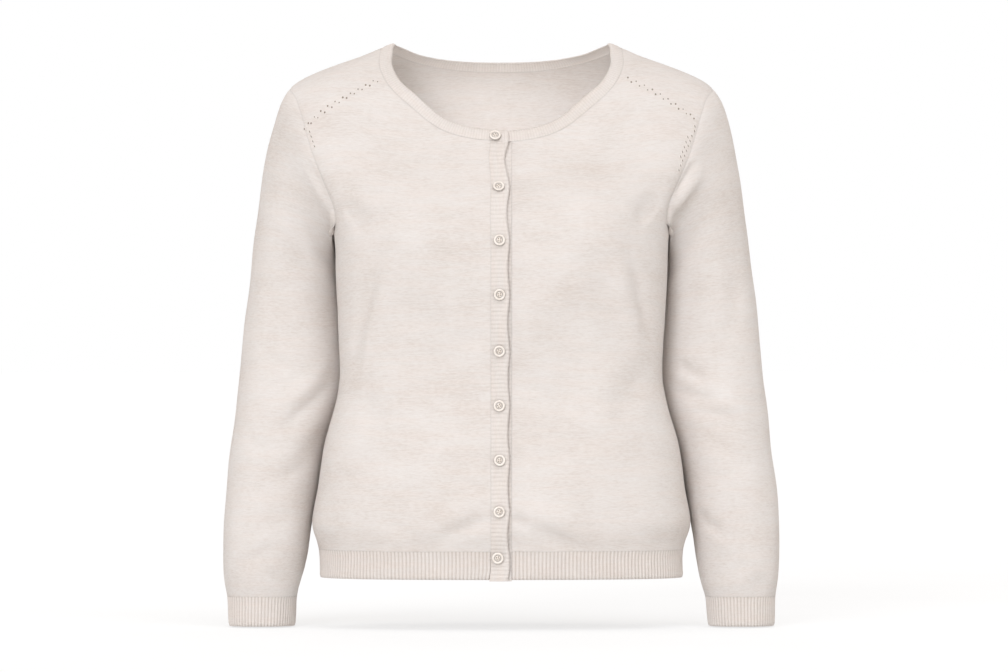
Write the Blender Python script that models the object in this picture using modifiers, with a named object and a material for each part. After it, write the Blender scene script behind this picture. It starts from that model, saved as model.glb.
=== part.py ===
"""Button cardigan, women's, fine knit, filled out as worn.

Units metres, +Z up, the front faces -Y, +X is the wearer's left. The origin is midway between the two
high points of the shoulders, where the neck band crosses the shoulder seams."""

import math

import bpy
import numpy as np
from mathutils import Matrix, Vector

# ---------------------------------------------------------------- driving sizes (metres)
MM = 0.001
WALL = 2.0 * MM            # cloth wall
GAP = 0.3 * MM             # space between pieces at a seam
HEM_Z = -0.6125            # bottom edge of the hem band
RIB_Z = -0.5805            # seam between panels and hem band
CUFF_DROP = 0.0340         # length of a cuff
NECK_BAND = 0.0145         # height of the neck band
PLACKET_W = 0.0213         # width of a front band
PLACKET_X = 0.0118         # seam of each front band, from the centre line
LAP = 1.2 * MM             # the upper band lies this far out, the lower one this far in
RAMP = 0.018               # a front panel comes up or down to its band over this width
BUTTON_D = 0.0140
BUTTON_T = 0.0026
BUTTONS = (                # centre of each button, millimetres: x, z, how far it tips up (degrees)
    (-7.0, -110.2, 12),
    (-3.0, -168.0, 4),
    (-2.2, -228.5, 3),
    (-2.0, -289.5, 1),
    (-2.3, -353.3, 0),
    (-2.3, -415.6, 0),
    (-1.8, -477.2, 0),
    (-2.4, -535.3, 2),
    (-4.0, -587.5, 0),
)

# Torso, one horizontal section per row, millimetres:
#  z height | w half width | y0 depth of the widest line | f depth at centre front | b depth at centre back
#  pf, pb squareness of the front and the back half
TORSO = (
    #    z      w      y0     f      b     pf    pb
    (    4, 108.0,    0,  20.0,  30.0, 2.20, 2.20),
    (   -4, 136.0,    0,  26.0,  46.0, 2.20, 2.20),
    (  -10, 149.5,    0,  31.0,  58.0, 2.20, 2.20),
    (  -17, 167.0,    0,  36.0,  70.0, 2.25, 2.20),
    (  -24, 188.0,    0,  41.0,  79.0, 2.30, 2.25),
    (  -31, 206.5,    0,  46.0,  86.0, 2.35, 2.30),
    (  -38, 222.5,    0,  51.0,  91.0, 2.40, 2.35),
    (  -45, 235.0,    0,  55.0,  95.0, 2.50, 2.40),
    (  -51, 242.5,    0,  58.0,  98.0, 2.60, 2.45),
    (  -60, 249.0,    0,  63.0, 101.0, 2.70, 2.50),
    (  -75, 253.0,   -2,  67.5, 105.0, 2.85, 2.60),
    (  -92, 252.5,   -4,  75.0, 109.0, 2.95, 2.70),
    ( -110, 248.0,   -7,  83.0, 113.0, 3.00, 2.70),
    ( -130, 240.0,  -10,  93.0, 117.0, 3.00, 2.70),
    ( -150, 229.5,  -13, 104.0, 121.0, 2.95, 2.70),
    ( -170, 216.5,  -16, 116.0, 124.0, 2.90, 2.60),
    ( -190, 203.5,  -19, 127.0, 127.0, 2.80, 2.50),
    ( -205, 196.0,  -21, 134.0, 128.0, 2.70, 2.45),
    ( -217, 192.6,  -24, 139.5, 129.0, 2.65, 2.40),
    ( -232, 191.0,  -27, 143.0, 129.0, 2.60, 2.40),
    ( -255, 190.3,  -31, 145.0, 127.0, 2.55, 2.35),
    ( -285, 189.0,  -35, 145.0, 123.0, 2.50, 2.30),
    ( -320, 186.9,  -39, 142.5, 118.0, 2.45, 2.25),
    ( -350, 185.4,  -42, 139.5, 114.0, 2.45, 2.20),
    ( -385, 184.8,  -42, 137.0, 113.0, 2.45, 2.20),
    ( -410, 188.6,  -40, 138.0, 115.0, 2.45, 2.25),
    ( -433, 195.0,  -37, 140.0, 120.0, 2.50, 2.30),
    ( -456, 202.0,  -34, 142.5, 125.0, 2.50, 2.35),
    ( -480, 206.3,  -31, 145.0, 131.0, 2.50, 2.40),
    ( -502, 209.4,  -28, 147.5, 136.0, 2.50, 2.40),
    ( -525, 213.0,  -25, 149.5, 141.0, 2.50, 2.40),
    ( -546, 216.6,  -22, 150.0, 145.0, 2.50, 2.40),
    ( -558, 215.8,  -21, 148.5, 145.0, 2.50, 2.40),
    ( -569, 212.0,  -20, 144.5, 142.5, 2.50, 2.40),
    ( -580, 209.2,  -19, 140.5, 139.5, 2.50, 2.40),
    ( -596, 208.6,  -19, 139.5, 138.5, 2.50, 2.40),
    ( -625, 208.8,  -19, 139.5, 138.5, 2.50, 2.40),
)
BUST = dict(x=112.0, z=-214.0, out=13.0, sx=60.0, up=68.0, down=66.0)

# Neck seam on the front, centre front to shoulder, millimetres
NECK_FRONT = (
    #   x       z
    (   0.0, -115.4),
    (  18.0, -114.2),
    (  36.0, -111.8),
    (  53.0, -107.4),
    (  68.0, -101.2),
    (  82.0,  -92.2),
    (  95.0,  -81.5),
    ( 108.5,  -70.0),
    ( 121.0,  -58.6),
    ( 130.5,  -47.0),
    ( 137.0,  -34.5),
    ( 140.0,  -21.5),
    ( 139.0,  -11.0),
    ( 136.0,   -4.0),
)
NECK_CORNER = 7            # row where the curve runs at 45 degrees
# Neck seam on the back, centre back to shoulder
NECK_BACK = (
    (   0.0,  -29.0),
    (  30.0,  -28.4),
    (  58.0,  -26.0),
    (  84.0,  -21.6),
    ( 108.0,  -15.4),
    ( 126.0,   -8.8),
    ( 136.0,   -4.0),
)
# Armhole seam, shoulder tip to underarm, seen from the front and from the back
ARM_FRONT = (
    #   x       z
    ( 242.0,  -50.6),
    ( 237.0,  -61.0),
    ( 231.0,  -76.0),
    ( 226.0,  -92.0),
    ( 221.5, -109.0),
    ( 216.5, -126.0),
    ( 210.5, -143.0),
    ( 203.5, -160.0),
    ( 197.0, -176.0),
    ( 192.0, -190.5),
    ( 190.3, -201.5),
    ( 192.0, -210.0),
    ( 192.9, -216.0),
)
ARM_BACK = (
    ( 242.0,  -50.6),
    ( 238.5,  -61.0),
    ( 234.0,  -76.0),
    ( 230.5,  -92.0),
    ( 227.0, -109.0),
    ( 222.5, -126.0),
    ( 216.0, -143.0),
    ( 208.0, -160.0),
    ( 199.5, -176.0),
    ( 192.8, -190.5),
    ( 190.6, -201.5),
    ( 191.8, -210.0),
    ( 192.9, -216.0),
)
ARM_CORNER = 9             # row where the armhole turns under the arm

# Sleeve, one section per row, millimetres: inner and outer point seen from the front,
# depth of the section's centre and its half depth
SLEEVE = (
    #  x_in   z_in    x_out   z_out   yc     d
    ( 193.0, -216.0, 242.0,  -50.6,  -2.0, 66.0),
    ( 195.6, -220.0, 252.3,  -66.0,   2.2, 66.0),
    ( 193.8, -225.0, 260.6,  -91.0,   9.0, 65.5),
    ( 191.6, -232.0, 268.3, -119.0,  15.5, 65.0),
    ( 189.8, -242.0, 274.3, -153.0,  19.5, 64.5),
    ( 188.1, -255.0, 279.6, -190.0,  22.0, 64.0),
    ( 186.2, -275.0, 285.2, -230.0,  23.5, 63.0),
    ( 183.4, -303.0, 290.6, -277.0,  24.0, 62.0),
    ( 179.8, -337.0, 296.0, -327.0,  23.5, 61.0),
    ( 177.6, -376.0, 301.2, -375.0,  22.5, 60.5),
    ( 182.3, -407.0, 305.6, -407.0,  21.0, 60.0),
    ( 191.2, -433.0, 308.4, -433.0,  19.0, 59.0),
    ( 200.3, -459.0, 310.9, -459.0,  16.0, 58.0),
    ( 206.9, -490.0, 314.0, -490.0,  12.0, 56.5),
    ( 213.1, -524.0, 316.6, -524.0,   7.0, 55.0),
    ( 217.9, -552.0, 318.6, -552.0,   1.0, 53.5),
    ( 221.3, -578.0, 319.4, -578.0,  -3.0, 52.0),
    ( 224.8, -600.0, 319.2, -600.0,  -6.0, 50.0),
    ( 229.6, -619.0, 317.6, -619.0,  -8.0, 47.0),
    ( 234.2, -634.8, 315.0, -634.8,  -9.0, 43.0),
    ( 235.6, -650.0, 314.3, -650.0,  -9.5, 42.0),
    ( 237.2, -668.8, 313.7, -668.8, -10.0, 41.0),
)
CUFF_ROW = 19              # row of the seam between sleeve and cuff


def fair(xs, ys, x):
    """Smooth curve (natural cubic) through the rows xs, ys, read at x."""
    xs = np.asarray(xs, float)
    ys = np.asarray(ys, float)
    n = len(xs)
    h = np.diff(xs)
    a = np.zeros((n, n))
    r = np.zeros(n)
    a[0, 0] = a[-1, -1] = 1.0
    for i in range(1, n - 1):
        a[i, i - 1], a[i, i], a[i, i + 1] = h[i - 1], 2 * (h[i - 1] + h[i]), h[i]
        r[i] = 6 * ((ys[i + 1] - ys[i]) / h[i] - (ys[i] - ys[i - 1]) / h[i - 1])
    m = np.linalg.solve(a, r)
    x = np.clip(np.asarray(x, float), xs[0], xs[-1])
    i = np.clip(np.searchsorted(xs, x, side="right") - 1, 0, n - 2)
    t = x - xs[i]
    u = xs[i + 1] - x
    return ((m[i] * u ** 3 + m[i + 1] * t ** 3) / (6 * h[i])
            + (ys[i] / h[i] - m[i] * h[i] / 6) * u + (ys[i + 1] / h[i] - m[i + 1] * h[i] / 6) * t)


def profile_table():
    """TORSO rows on an even half-millimetre ladder, lightly evened out; metres, rising z."""
    rows = np.array(TORSO, float)[::-1]
    z = np.arange(rows[0, 0], rows[-1, 0] + 0.25, 0.5)
    out = [z * MM]
    k = np.exp(-0.5 * (np.arange(-16, 17) * 0.5 / 2.6) ** 2)
    k /= k.sum()
    for c in range(1, 7):
        v = fair(rows[:, 0], rows[:, c], z)
        v = np.convolve(np.concatenate([2 * v[0] - v[16:0:-1], v, 2 * v[-1] - v[-2:-18:-1]]), k, "valid")
        out.append(v * (MM if c < 5 else 1.0))
    return out


PROFILE = profile_table()


def torso(phi, z):
    """Point of the torso form. phi 0 at centre front, pi/2 at the widest line, pi at centre back; +X side."""
    phi = np.asarray(phi, float)
    z = np.asarray(z, float)
    w, y0, f, b, pf, pb = (np.interp(z, PROFILE[0], PROFILE[i]) for i in range(1, 7))
    s, c = np.sin(phi), np.cos(phi)
    front = c >= 0
    p = np.where(front, pf, pb)
    r = (np.abs(s) ** p + np.abs(c) ** p) ** (-1.0 / p)
    x = w * r * s
    y = y0 - np.where(front, f + y0, b - y0) * r * c * np.where(front, 1.0, 1.0)
    dz = (z / MM - BUST["z"])
    dz = dz / np.where(dz > 0, BUST["up"], BUST["down"])
    edge = np.clip(1 - (np.abs(x) / np.maximum(w, 1e-6)) ** 4, 0, 1)
    y = y - np.where(front, BUST["out"] * MM * edge * np.exp(-((np.abs(x) / MM - BUST["x"]) / BUST["sx"]) ** 2) * np.exp(-dz ** 2), 0.0)
    return np.stack([x, y, z + 0 * phi], axis=-1)


def torso_normal(phi, z):
    e = 1e-4
    a = torso(phi + 2 * e, z) - torso(phi - 2 * e, z)
    b = torso(phi, z + e) - torso(phi, z - e)
    n = np.cross(a, b)
    return n / np.maximum(np.linalg.norm(n, axis=-1, keepdims=True), 1e-12)


def side_phi(z):
    """Angle of the side seam: where the section passes y = 0."""
    y0 = np.interp(z, PROFILE[0], PROFILE[2])
    b = np.interp(z, PROFILE[0], PROFILE[4])
    return np.pi / 2 + np.arctan2(-y0, b - y0)


class Half:
    """Front or back quarter of the torso unrolled: a = distance along the section from the centre, z = height."""

    def __init__(self, back):
        self.back = back
        self.z = np.arange(-0.625, 0.0035, 0.001)
        nt = 241
        zz = self.z[:, None]
        ps = side_phi(self.z)[:, None]
        t = np.linspace(0, 1, nt)[None, :]
        phi = (np.pi - (np.pi - ps) * t) if back else ps * t
        pts = torso(phi, zz + 0 * phi)
        d = np.linalg.norm(np.diff(pts, axis=1), axis=2)
        s = np.concatenate([np.zeros((len(self.z), 1)), np.cumsum(d, axis=1)], axis=1)
        self.length = s[:, -1]
        self.q = np.linspace(0, 1, 161)
        self.phi = np.array([np.interp(self.q * s[i, -1], s[i], phi[i]) for i in range(len(self.z))])
        self.x = torso(self.phi, zz + 0 * self.phi)[..., 0]

    def _pick(self, table, q, z):
        gi = np.clip((z - self.z[0]) / 0.001, 0, len(self.z) - 1.001)
        gj = np.clip(q * 160.0, 0, 159.999)
        i, j = gi.astype(int), gj.astype(int)
        u, v = gi - i, gj - j
        return ((table[i, j] * (1 - v) + table[i, j + 1] * v) * (1 - u)
                + (table[i + 1, j] * (1 - v) + table[i + 1, j + 1] * v) * u)

    def len_at(self, z):
        return np.interp(z, self.z, self.length)

    def angle(self, a, z):
        """Angle of the point a metres from the centre at height z."""
        a, z = np.broadcast_arrays(np.asarray(a, float), np.asarray(z, float))
        q = a / self.len_at(z)
        over = np.clip(q, 0, 1)
        ang = self._pick(self.phi, over, z)
        # just past the centre line the panel goes on across it
        return np.where(q < 0, (2 * np.pi - self._pick(self.phi, -np.minimum(q, 0), z)) if self.back else -self._pick(self.phi, -np.minimum(q, 0), z), ang)

    def a_of_x(self, x, z):
        """Distance from the centre of the point with that x at height z."""
        x, z = np.broadcast_arrays(np.asarray(x, float), np.asarray(z, float))
        out = np.empty(x.shape)
        for k in np.ndindex(x.shape):
            gi = min(max((z[k] - self.z[0]) / 0.001, 0), len(self.z) - 1.001)
            i = int(gi)
            row = self.x[i] * (1 - gi + i) + self.x[i + 1] * (gi - i)
            m = int(np.argmax(row)) + 1
            out[k] = np.sign(x[k]) * np.interp(abs(x[k]), row[:m], self.q[:m]) * self.len_at(z[k])
        return out

    def point(self, a, z):
        return torso(self.angle(a, z), z)

    def normal(self, a, z):
        return torso_normal(self.angle(a, z), z)


def run_along(points, counts):
    """Even steps along a smooth curve through points; counts = steps between the marked rows [(row, row, steps), ...]."""
    pts = np.array(points, float)
    d = np.concatenate([[0], np.cumsum(np.linalg.norm(np.diff(pts, axis=0), axis=1))])
    out = []
    for r0, r1, n in counts:
        s = np.linspace(d[r0], d[r1], n + 1)
        out.append(np.stack([fair(d, pts[:, c], s) for c in range(pts.shape[1])], axis=1))
    return out


def unrolled(half, table):
    """Rows (x, z) in millimetres as (a, z) in metres on the unrolled quarter."""
    t = np.array(table, float) * MM
    return np.stack([half.a_of_x(t[:, 0], t[:, 1]), t[:, 1]], axis=1)


def shoulder_line(half, n):
    """Shoulder seam from the neck to the tip, n even steps."""
    z = np.linspace(-0.004, ARM_FRONT[0][1] * MM, 120)
    p = half.point(half.len_at(z), z)
    s = np.concatenate([[0], np.cumsum(np.linalg.norm(np.diff(p, axis=0), axis=1))])
    zz = np.interp(np.linspace(0, s[-1], n + 1), s, z)
    return np.stack([half.len_at(zz), zz], axis=1)


def relax(g, fixed, rounds):
    """Lets the inner grid points settle to the middle of their four neighbours."""
    inner = np.zeros(g.shape[:2], bool)
    ok = ~np.isnan(g[..., 0])
    inner[1:-1, 1:-1] = ok[1:-1, 1:-1] & ~fixed[1:-1, 1:-1]
    for _ in range(rounds):
        mid = 0.25 * (g[:-2, 1:-1] + g[2:, 1:-1] + g[1:-1, :-2] + g[1:-1, 2:])
        g[1:-1, 1:-1][inner[1:-1, 1:-1]] = mid[inner[1:-1, 1:-1]]
    return g


def panel_grid(half, k, k2, n, ju, jk, m, x0, rounds):
    """Grid of one front (or half the back) on the unrolled quarter: [column, row] -> (a, z).
    Columns run up from the hem: 0..k end at the neck, k..k2 at the shoulder, k2..n under the arm.
    Rows: 0..ju end at the side seam, ju.. at the armhole; rows above jk start at the neck."""
    g = np.full((n + 1, m + 1, 2), np.nan)
    fixed = np.zeros((n + 1, m + 1), bool)

    def put(cols, rows, pts):
        for c, r, p in zip(np.broadcast_to(cols, len(pts)), np.broadcast_to(rows, len(pts)), pts):
            g[c, r] = p
            fixed[c, r] = True

    if half.back:
        neck = unrolled(half, NECK_BACK)
        neck[-1, 0] = half.len_at(neck[-1, 1])
        low, = run_along(neck, [(0, len(neck) - 1, k)])
        up = None
    else:
        t = np.array(NECK_FRONT, float) * MM
        t[0] = (x0, np.interp(x0 / MM, [r[0] for r in NECK_FRONT], [r[1] for r in NECK_FRONT]) * MM)
        neck = np.stack([half.a_of_x(t[:, 0], t[:, 1]), t[:, 1]], axis=1)
        neck[-1, 0] = half.len_at(neck[-1, 1])
        low, up = run_along(neck, [(0, NECK_CORNER, k), (NECK_CORNER, len(neck) - 1, m - jk)])
    arm = unrolled(half, ARM_BACK if half.back else ARM_FRONT)
    arm[0, 0] = half.len_at(arm[0, 1])
    arm[-1, 0] = half.len_at(arm[-1, 1])
    outer, under = run_along(arm, [(0, ARM_CORNER, m - ju), (ARM_CORNER, len(arm) - 1, n - k2)])
    a0 = low[0, 0]
    # hem line, centre line, neck, shoulder, armhole, side seam
    zr = np.linspace(RIB_Z, low[0, 1], jk + 1)
    put(0, np.arange(jk + 1), np.stack([np.full(jk + 1, a0), zr], axis=1))
    put(np.arange(n + 1), 0, np.stack([np.linspace(a0, half.len_at(RIB_Z), n + 1), np.full(n + 1, RIB_Z)], axis=1))
    put(np.arange(k + 1), jk, low)
    if up is not None:
        put(k, np.arange(jk, m + 1), up)
    put(np.arange(k, k2 + 1), m, shoulder_line(half, k2 - k))
    put(k2, np.arange(m, ju - 1, -1), outer)
    put(np.arange(k2, n + 1), ju, under)
    zs = np.linspace(RIB_Z, arm[-1, 1], ju + 1)
    put(n, np.arange(ju + 1), np.stack([half.len_at(zs), zs], axis=1))
    # first guess: straight runs between the borders of every row
    for r in range(m + 1):
        c0 = 0 if r <= jk else k
        c1 = n if r <= ju else k2
        for c in range(c0, c1 + 1):
            if not fixed[c, r]:
                left = max(q for q in range(c0, c) if fixed[q, r])
                right = min(q for q in range(c + 1, c1 + 1) if fixed[q, r])
                u = (c - left) / (right - left)
                g[c, r] = g[left, r] * (1 - u) + g[right, r] * u
    return relax(g, fixed, rounds), fixed


def sleeve_rows(r):
    t = np.array(SLEEVE, float) * MM
    i = np.arange(len(t))
    return [fair(i, t[:, c], r) for c in range(6)]


def sleeve_ring(t, r):
    """Bare section r of the sleeve; t 0 at the outside, 0.5 in front, 1 inside, 1.5 behind."""
    xi, zi, xo, zo, yc, d = sleeve_rows(r)
    c, s = np.cos(np.pi * t), np.sin(np.pi * t)
    p = 2.12
    k = (np.abs(s) ** p + np.abs(c) ** p) ** (-1.0 / p)
    c, s = c * k, s * k
    return np.stack([(xi + xo) / 2 + (xo - xi) / 2 * c, yc - d * s, (zi + zo) / 2 + (zo - zi) / 2 * c], axis=-1)


class Sleeve:
    """Tube from the armhole seam to the cuff; loop = points of the seam at even steps of t."""

    def __init__(self, loop):
        self.loop = loop
        n = len(loop)
        self.t = np.arange(n + 1) * 2.0 / n
        self.rest = np.vstack([loop, loop[:1]]) - sleeve_ring(self.t, np.zeros(n + 1))

    def point(self, t, r):
        t, r = np.broadcast_arrays(np.asarray(t, float), np.asarray(r, float))
        u = np.mod(t, 2.0)
        rest = np.stack([np.interp(u, self.t, self.rest[:, c]) for c in range(3)], axis=-1)
        f = np.clip(1 - r / 5.5, 0, 1)
        return sleeve_ring(u, r) + rest * (f * f * (3 - 2 * f))[..., None]

    def normal(self, t, r):
        e = 0.02
        a = self.point(t + e, r) - self.point(t - e, r)
        r0, r1 = np.maximum(r - 0.05, 0), np.minimum(r + 0.05, len(SLEEVE) - 1)
        b = self.point(t, r1) - self.point(t, r0)
        n = np.cross(a, b)
        return n / np.maximum(np.linalg.norm(n, axis=-1, keepdims=True), 1e-12)


def fold_pair(q, pts, nrm):
    """Splits a cell along the diagonal that keeps both halves nearest the lie of the cloth."""
    best = None
    for pair in (((q[0], q[1], q[2]), (q[0], q[2], q[3])), ((q[1], q[2], q[3]), (q[1], q[3], q[0]))):
        score = 1.0
        for t in pair:
            c = np.cross(pts[t[1]] - pts[t[0]], pts[t[2]] - pts[t[0]])
            m = nrm[t[0]] + nrm[t[1]] + nrm[t[2]]
            score = min(score, float(c @ m) / max(np.linalg.norm(c) * np.linalg.norm(m), 1e-18))
        if best is None or score > best[0] + 1e-4:
            best = (score, pair)
    return best[1]


def wall_mesh(ids, outer, inner, nrm=None):
    """Closed wall from a grid of vertex numbers (-1 = no cloth there): outer skin, inner skin and the cut edges between."""
    n = len(outer)
    faces = []
    for i in range(ids.shape[0] - 1):
        for j in range(ids.shape[1] - 1):
            q = (ids[i, j], ids[i + 1, j], ids[i + 1, j + 1], ids[i, j + 1])
            if min(q) >= 0:
                faces += [q] if nrm is None else fold_pair(q, outer, nrm)
    edges = {}
    for f in faces:
        for a, b in zip(f, f[1:] + f[:1]):
            edges[(a, b)] = True
    rim = [(a, b) for a, b in edges if (b, a) not in edges]
    out = [tuple(f) for f in faces] + [tuple(v + n for v in reversed(f)) for f in faces]
    out += [(b, a, a + n, b + n) for a, b in rim]
    return np.vstack([outer, inner]), out, rim


def inset(points, normals, ids, amount, keep=()):
    """Draws the border of a piece in by amount along the cloth, corners included."""
    _, _, rim = wall_mesh(ids, points, points)
    step = {}
    for a, b in rim:
        t = points[b] - points[a]
        for v in (a, b):
            m = np.cross(normals[v], t)
            step.setdefault(v, []).append(m / max(np.linalg.norm(m), 1e-12))
    out = points.copy()
    for v, (m1, m2) in ((v, s if len(s) == 2 else (s[0], s[0])) for v, s in step.items()):
        out[v] += (m1 + m2) / max(1 + float(m1 @ m2), 0.5) * amount
    return out


# ---------------------------------------------------------------- building the pieces
FRONT_GRID = (5, 10, 12, 10, 14, 18)   # k, k2, n, ju, jk, m
BACK_GRID = (5, 10, 12, 10, 18, 18)
SLEEVE_ROWS = (0, 1, 2, 3, 4, 5, 6, 7, 8, 9.2, 10.5, 12, 13.5, 15, 16.5, 17.8, 19)

CLOTH = (0.800, 0.752, 0.716, 1.0)
RIB = (0.770, 0.722, 0.682, 1.0)
PEARL = (0.830, 0.790, 0.730, 1.0)

for old in list(bpy.data.objects):
    bpy.data.objects.remove(old, do_unlink=True)

garment = bpy.data.collections.new("button_cardigan")
bpy.context.scene.collection.children.link(garment)


def finish_node(name, verts, faces, colour, rough, smooth=True):
    mesh = bpy.data.meshes.new(name)
    mesh.from_pydata([tuple(v) for v in verts], [], [tuple(f) for f in faces])
    mesh.validate()
    mesh.polygons.foreach_set("use_smooth", [smooth] * len(mesh.polygons))
    obj = bpy.data.objects.new(name, mesh)
    garment.objects.link(obj)
    mat = bpy.data.materials.new(name + "_finish")
    mat.use_nodes = True
    shader = mat.node_tree.nodes["Principled BSDF"]
    shader.inputs["Base Color"].default_value = colour
    shader.inputs["Roughness"].default_value = rough
    shader.inputs["Metallic"].default_value = 0.0
    mesh.materials.append(mat)
    return obj


def flip_x(verts, faces):
    v = np.array(verts, float)
    v[:, 0] *= -1
    return v, [tuple(reversed(f)) for f in faces]


def lap(a):
    """Share of the lap step: full at the front edge, none beyond the ramp."""
    u = np.clip(1 - (np.asarray(a) - PLACKET_X) / RAMP, 0, 1)
    return LAP * u * u * (3 - 2 * u)


def numbered(valid):
    ids = np.full(valid.shape, -1, int)
    ids[valid] = np.arange(valid.sum())
    return ids


front = Half(False)
back = Half(True)
fg, _ = panel_grid(front, *FRONT_GRID, PLACKET_X, 500)
bg, _ = panel_grid(back, *BACK_GRID, 0.0, 500)
K, K2, N, JU, JK, M = FRONT_GRID

# armhole seam as one loop: tip, down the front, under the arm, up the back
arm_front = np.vstack([fg[K2, M:JU:-1], fg[K2:, JU]])
arm_back = np.vstack([bg[K2, M:JU:-1], bg[K2:, JU]])
loop = np.vstack([front.point(arm_front[:, 0], arm_front[:, 1]), back.point(arm_back[:, 0], arm_back[:, 1])[-2:0:-1]])
loop_n = np.vstack([front.normal(arm_front[:, 0], arm_front[:, 1]), back.normal(arm_back[:, 0], arm_back[:, 1])[-2:0:-1]])
sleeve = Sleeve(loop)
loop_t = np.arange(len(loop)) * 2.0 / len(loop)
sleeve_n = sleeve.normal(loop_t, np.zeros(len(loop)))
mitre = loop_n + sleeve_n
open_ = np.linalg.norm(mitre, axis=1, keepdims=True)
mitre = mitre / open_ * WALL * np.minimum(2.0 / open_, 1.3)


def seam_cut(outer, inner, ids_loop, on_loop):
    """Border at the armhole: both walls are cut along the same slanting line."""
    for v, k in zip(ids_loop, on_loop):
        inner[v] = outer[v] - mitre[k]
    return inner


half_n = len(arm_front) - 1          # steps on each half of the armhole

# fronts
for side, name, sign in ((1, "front_left", -1), (-1, "front_right", 1)):
    ok = ~np.isnan(fg[..., 0])
    ids = numbered(ok)
    a, z = fg[ok][:, 0], fg[ok][:, 1]
    nrm = front.normal(a, z)
    pts = front.point(a, z) + nrm * (sign * lap(a))[:, None]
    pts = inset(pts, nrm, ids, GAP / 2)
    inner = pts - nrm * WALL
    edge = [ids[K2, r] for r in range(M, JU, -1)] + [ids[c, JU] for c in range(K2, N + 1)]
    inner = seam_cut(pts, inner, edge, range(half_n + 1))
    v, f, _ = wall_mesh(ids, pts, inner, nrm)
    if side < 0:
        v, f = flip_x(v, f)
    finish_node(name, v, f, CLOTH, 0.9)

# back, one piece across
bn = bg.shape[0] - 1
ok = ~np.isnan(bg[..., 0])
full = np.full((2 * bn + 1, bg.shape[1]), False)
full[:bn + 1] = ok[::-1]
full[bn:] = ok
ids = numbered(full)
pts = np.zeros((full.sum(), 3))
nrm = np.zeros((full.sum(), 3))
for c in range(2 * bn + 1):
    src, mir = (bn - c, 1.0) if c <= bn else (c - bn, -1.0)
    for r in range(bg.shape[1]):
        if ids[c, r] >= 0:
            a, z = bg[src, r]
            pts[ids[c, r]] = back.point(a, z) * (mir, 1, 1)
            nrm[ids[c, r]] = back.normal(a, z) * (mir, 1, 1)
pts = inset(pts, nrm, ids, GAP / 2)
inner = pts - nrm * WALL
ring = [0] + list(range(len(loop) - 1, half_n, -1)) + [half_n]
for mir, cols in ((1.0, lambda c: bn - c), (-1.0, lambda c: bn + c)):
    edge = [ids[cols(K2), r] for r in range(M, JU, -1)] + [ids[cols(c), JU] for c in range(K2, N + 1)]
    for v, k in zip(edge, ring):
        inner[v] = pts[v] - mitre[k] * (mir, 1, 1)
v, f, _ = wall_mesh(ids, pts, inner, nrm)
finish_node("back", v, f, CLOTH, 0.9)

# sleeves and cuffs
def tube(rows, cut):
    n = len(loop)
    t = np.repeat(loop_t[:, None], len(rows), axis=1)
    r = np.repeat(np.array(rows, float)[None, :], n, axis=0)
    p, q = sleeve.point(t, r), sleeve.normal(t, r)
    ids = np.arange(n * len(rows)).reshape(n, len(rows))
    ids = np.vstack([ids, ids[:1]])
    pts, nrm = p.reshape(-1, 3), q.reshape(-1, 3)
    # the border is drawn in along the run of the sleeve only
    pts = inset(pts, nrm, ids, GAP / 2)
    if cut:
        pts[ids[:-1, 0]] += (pts[ids[:-1, 1]] - pts[ids[:-1, 0]]) / np.linalg.norm(pts[ids[:-1, 1]] - pts[ids[:-1, 0]], axis=1, keepdims=True) * GAP
    inner = pts - nrm * WALL
    if cut:
        inner = seam_cut(pts, inner, ids[:-1, 0], range(n))
    v, f, _ = wall_mesh(ids, pts, inner, nrm)
    return v, f


sv, sf = tube(SLEEVE_ROWS, True)
cv, cf = tube((19, 20, 21), False)
finish_node("sleeve_left", sv, sf, CLOTH, 0.9)
finish_node("sleeve_right", *flip_x(sv, sf), CLOTH, 0.9)
finish_node("cuff_left", cv, cf, RIB, 0.9)
finish_node("cuff_right", *flip_x(cv, cf), RIB, 0.9)


def strip(grid_a, grid_z, half, raise_, colour, name, side, wall=WALL):
    """A band on the unrolled quarter: columns across, rows up."""
    ids = np.arange(grid_a.size).reshape(grid_a.shape)
    a, z = grid_a.ravel(), grid_z.ravel()
    nrm = half.normal(a, z)
    pts = half.point(a, z) + nrm * np.broadcast_to(raise_, grid_a.shape).ravel()[:, None]
    pts = inset(pts, nrm, ids, GAP / 2)
    v, f, _ = wall_mesh(ids, pts, pts - nrm * wall, nrm)
    if side < 0:
        v, f = flip_x(v, f)
    finish_node(name, v, f, colour, 0.9)


# hem bands
hem_z = np.linspace(HEM_Z, RIB_Z, 3)
u = np.linspace(0, 1, N + 1)[:, None]
for side, name, sign in ((1, "hem_front_left", -1), (-1, "hem_front_right", 1)):
    ln = front.len_at(hem_z)[None, :]
    ga = fg[0, 0, 0] + (ln - fg[0, 0, 0]) * u
    strip(ga, np.broadcast_to(hem_z, ga.shape), front, sign * lap(ga), RIB, name, side)
uu = np.linspace(-1, 1, 2 * N + 1)[:, None]
ga = np.abs(uu) * back.len_at(hem_z)[None, :]
gz = np.broadcast_to(hem_z, ga.shape)
ids = np.arange(ga.size).reshape(ga.shape)
flip = np.where(uu > 0, -1.0, 1.0) * np.ones_like(ga)
nrm = back.normal(ga.ravel(), gz.ravel())
pts = back.point(ga.ravel(), gz.ravel())
nrm[:, 0] *= flip.ravel()
pts[:, 0] *= flip.ravel()
pts = inset(pts, nrm, ids, GAP / 2)
v, f, _ = wall_mesh(ids, pts, pts - nrm * WALL, nrm)
finish_node("hem_back", v, f, RIB, 0.9)

# front bands: the buttonhole band of the right front lies over the button band of the left
def neck_z(a):
    t = np.array(NECK_FRONT, float)
    return fair(t[:, 0], t[:, 1], np.abs(a) / MM) * MM


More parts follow.
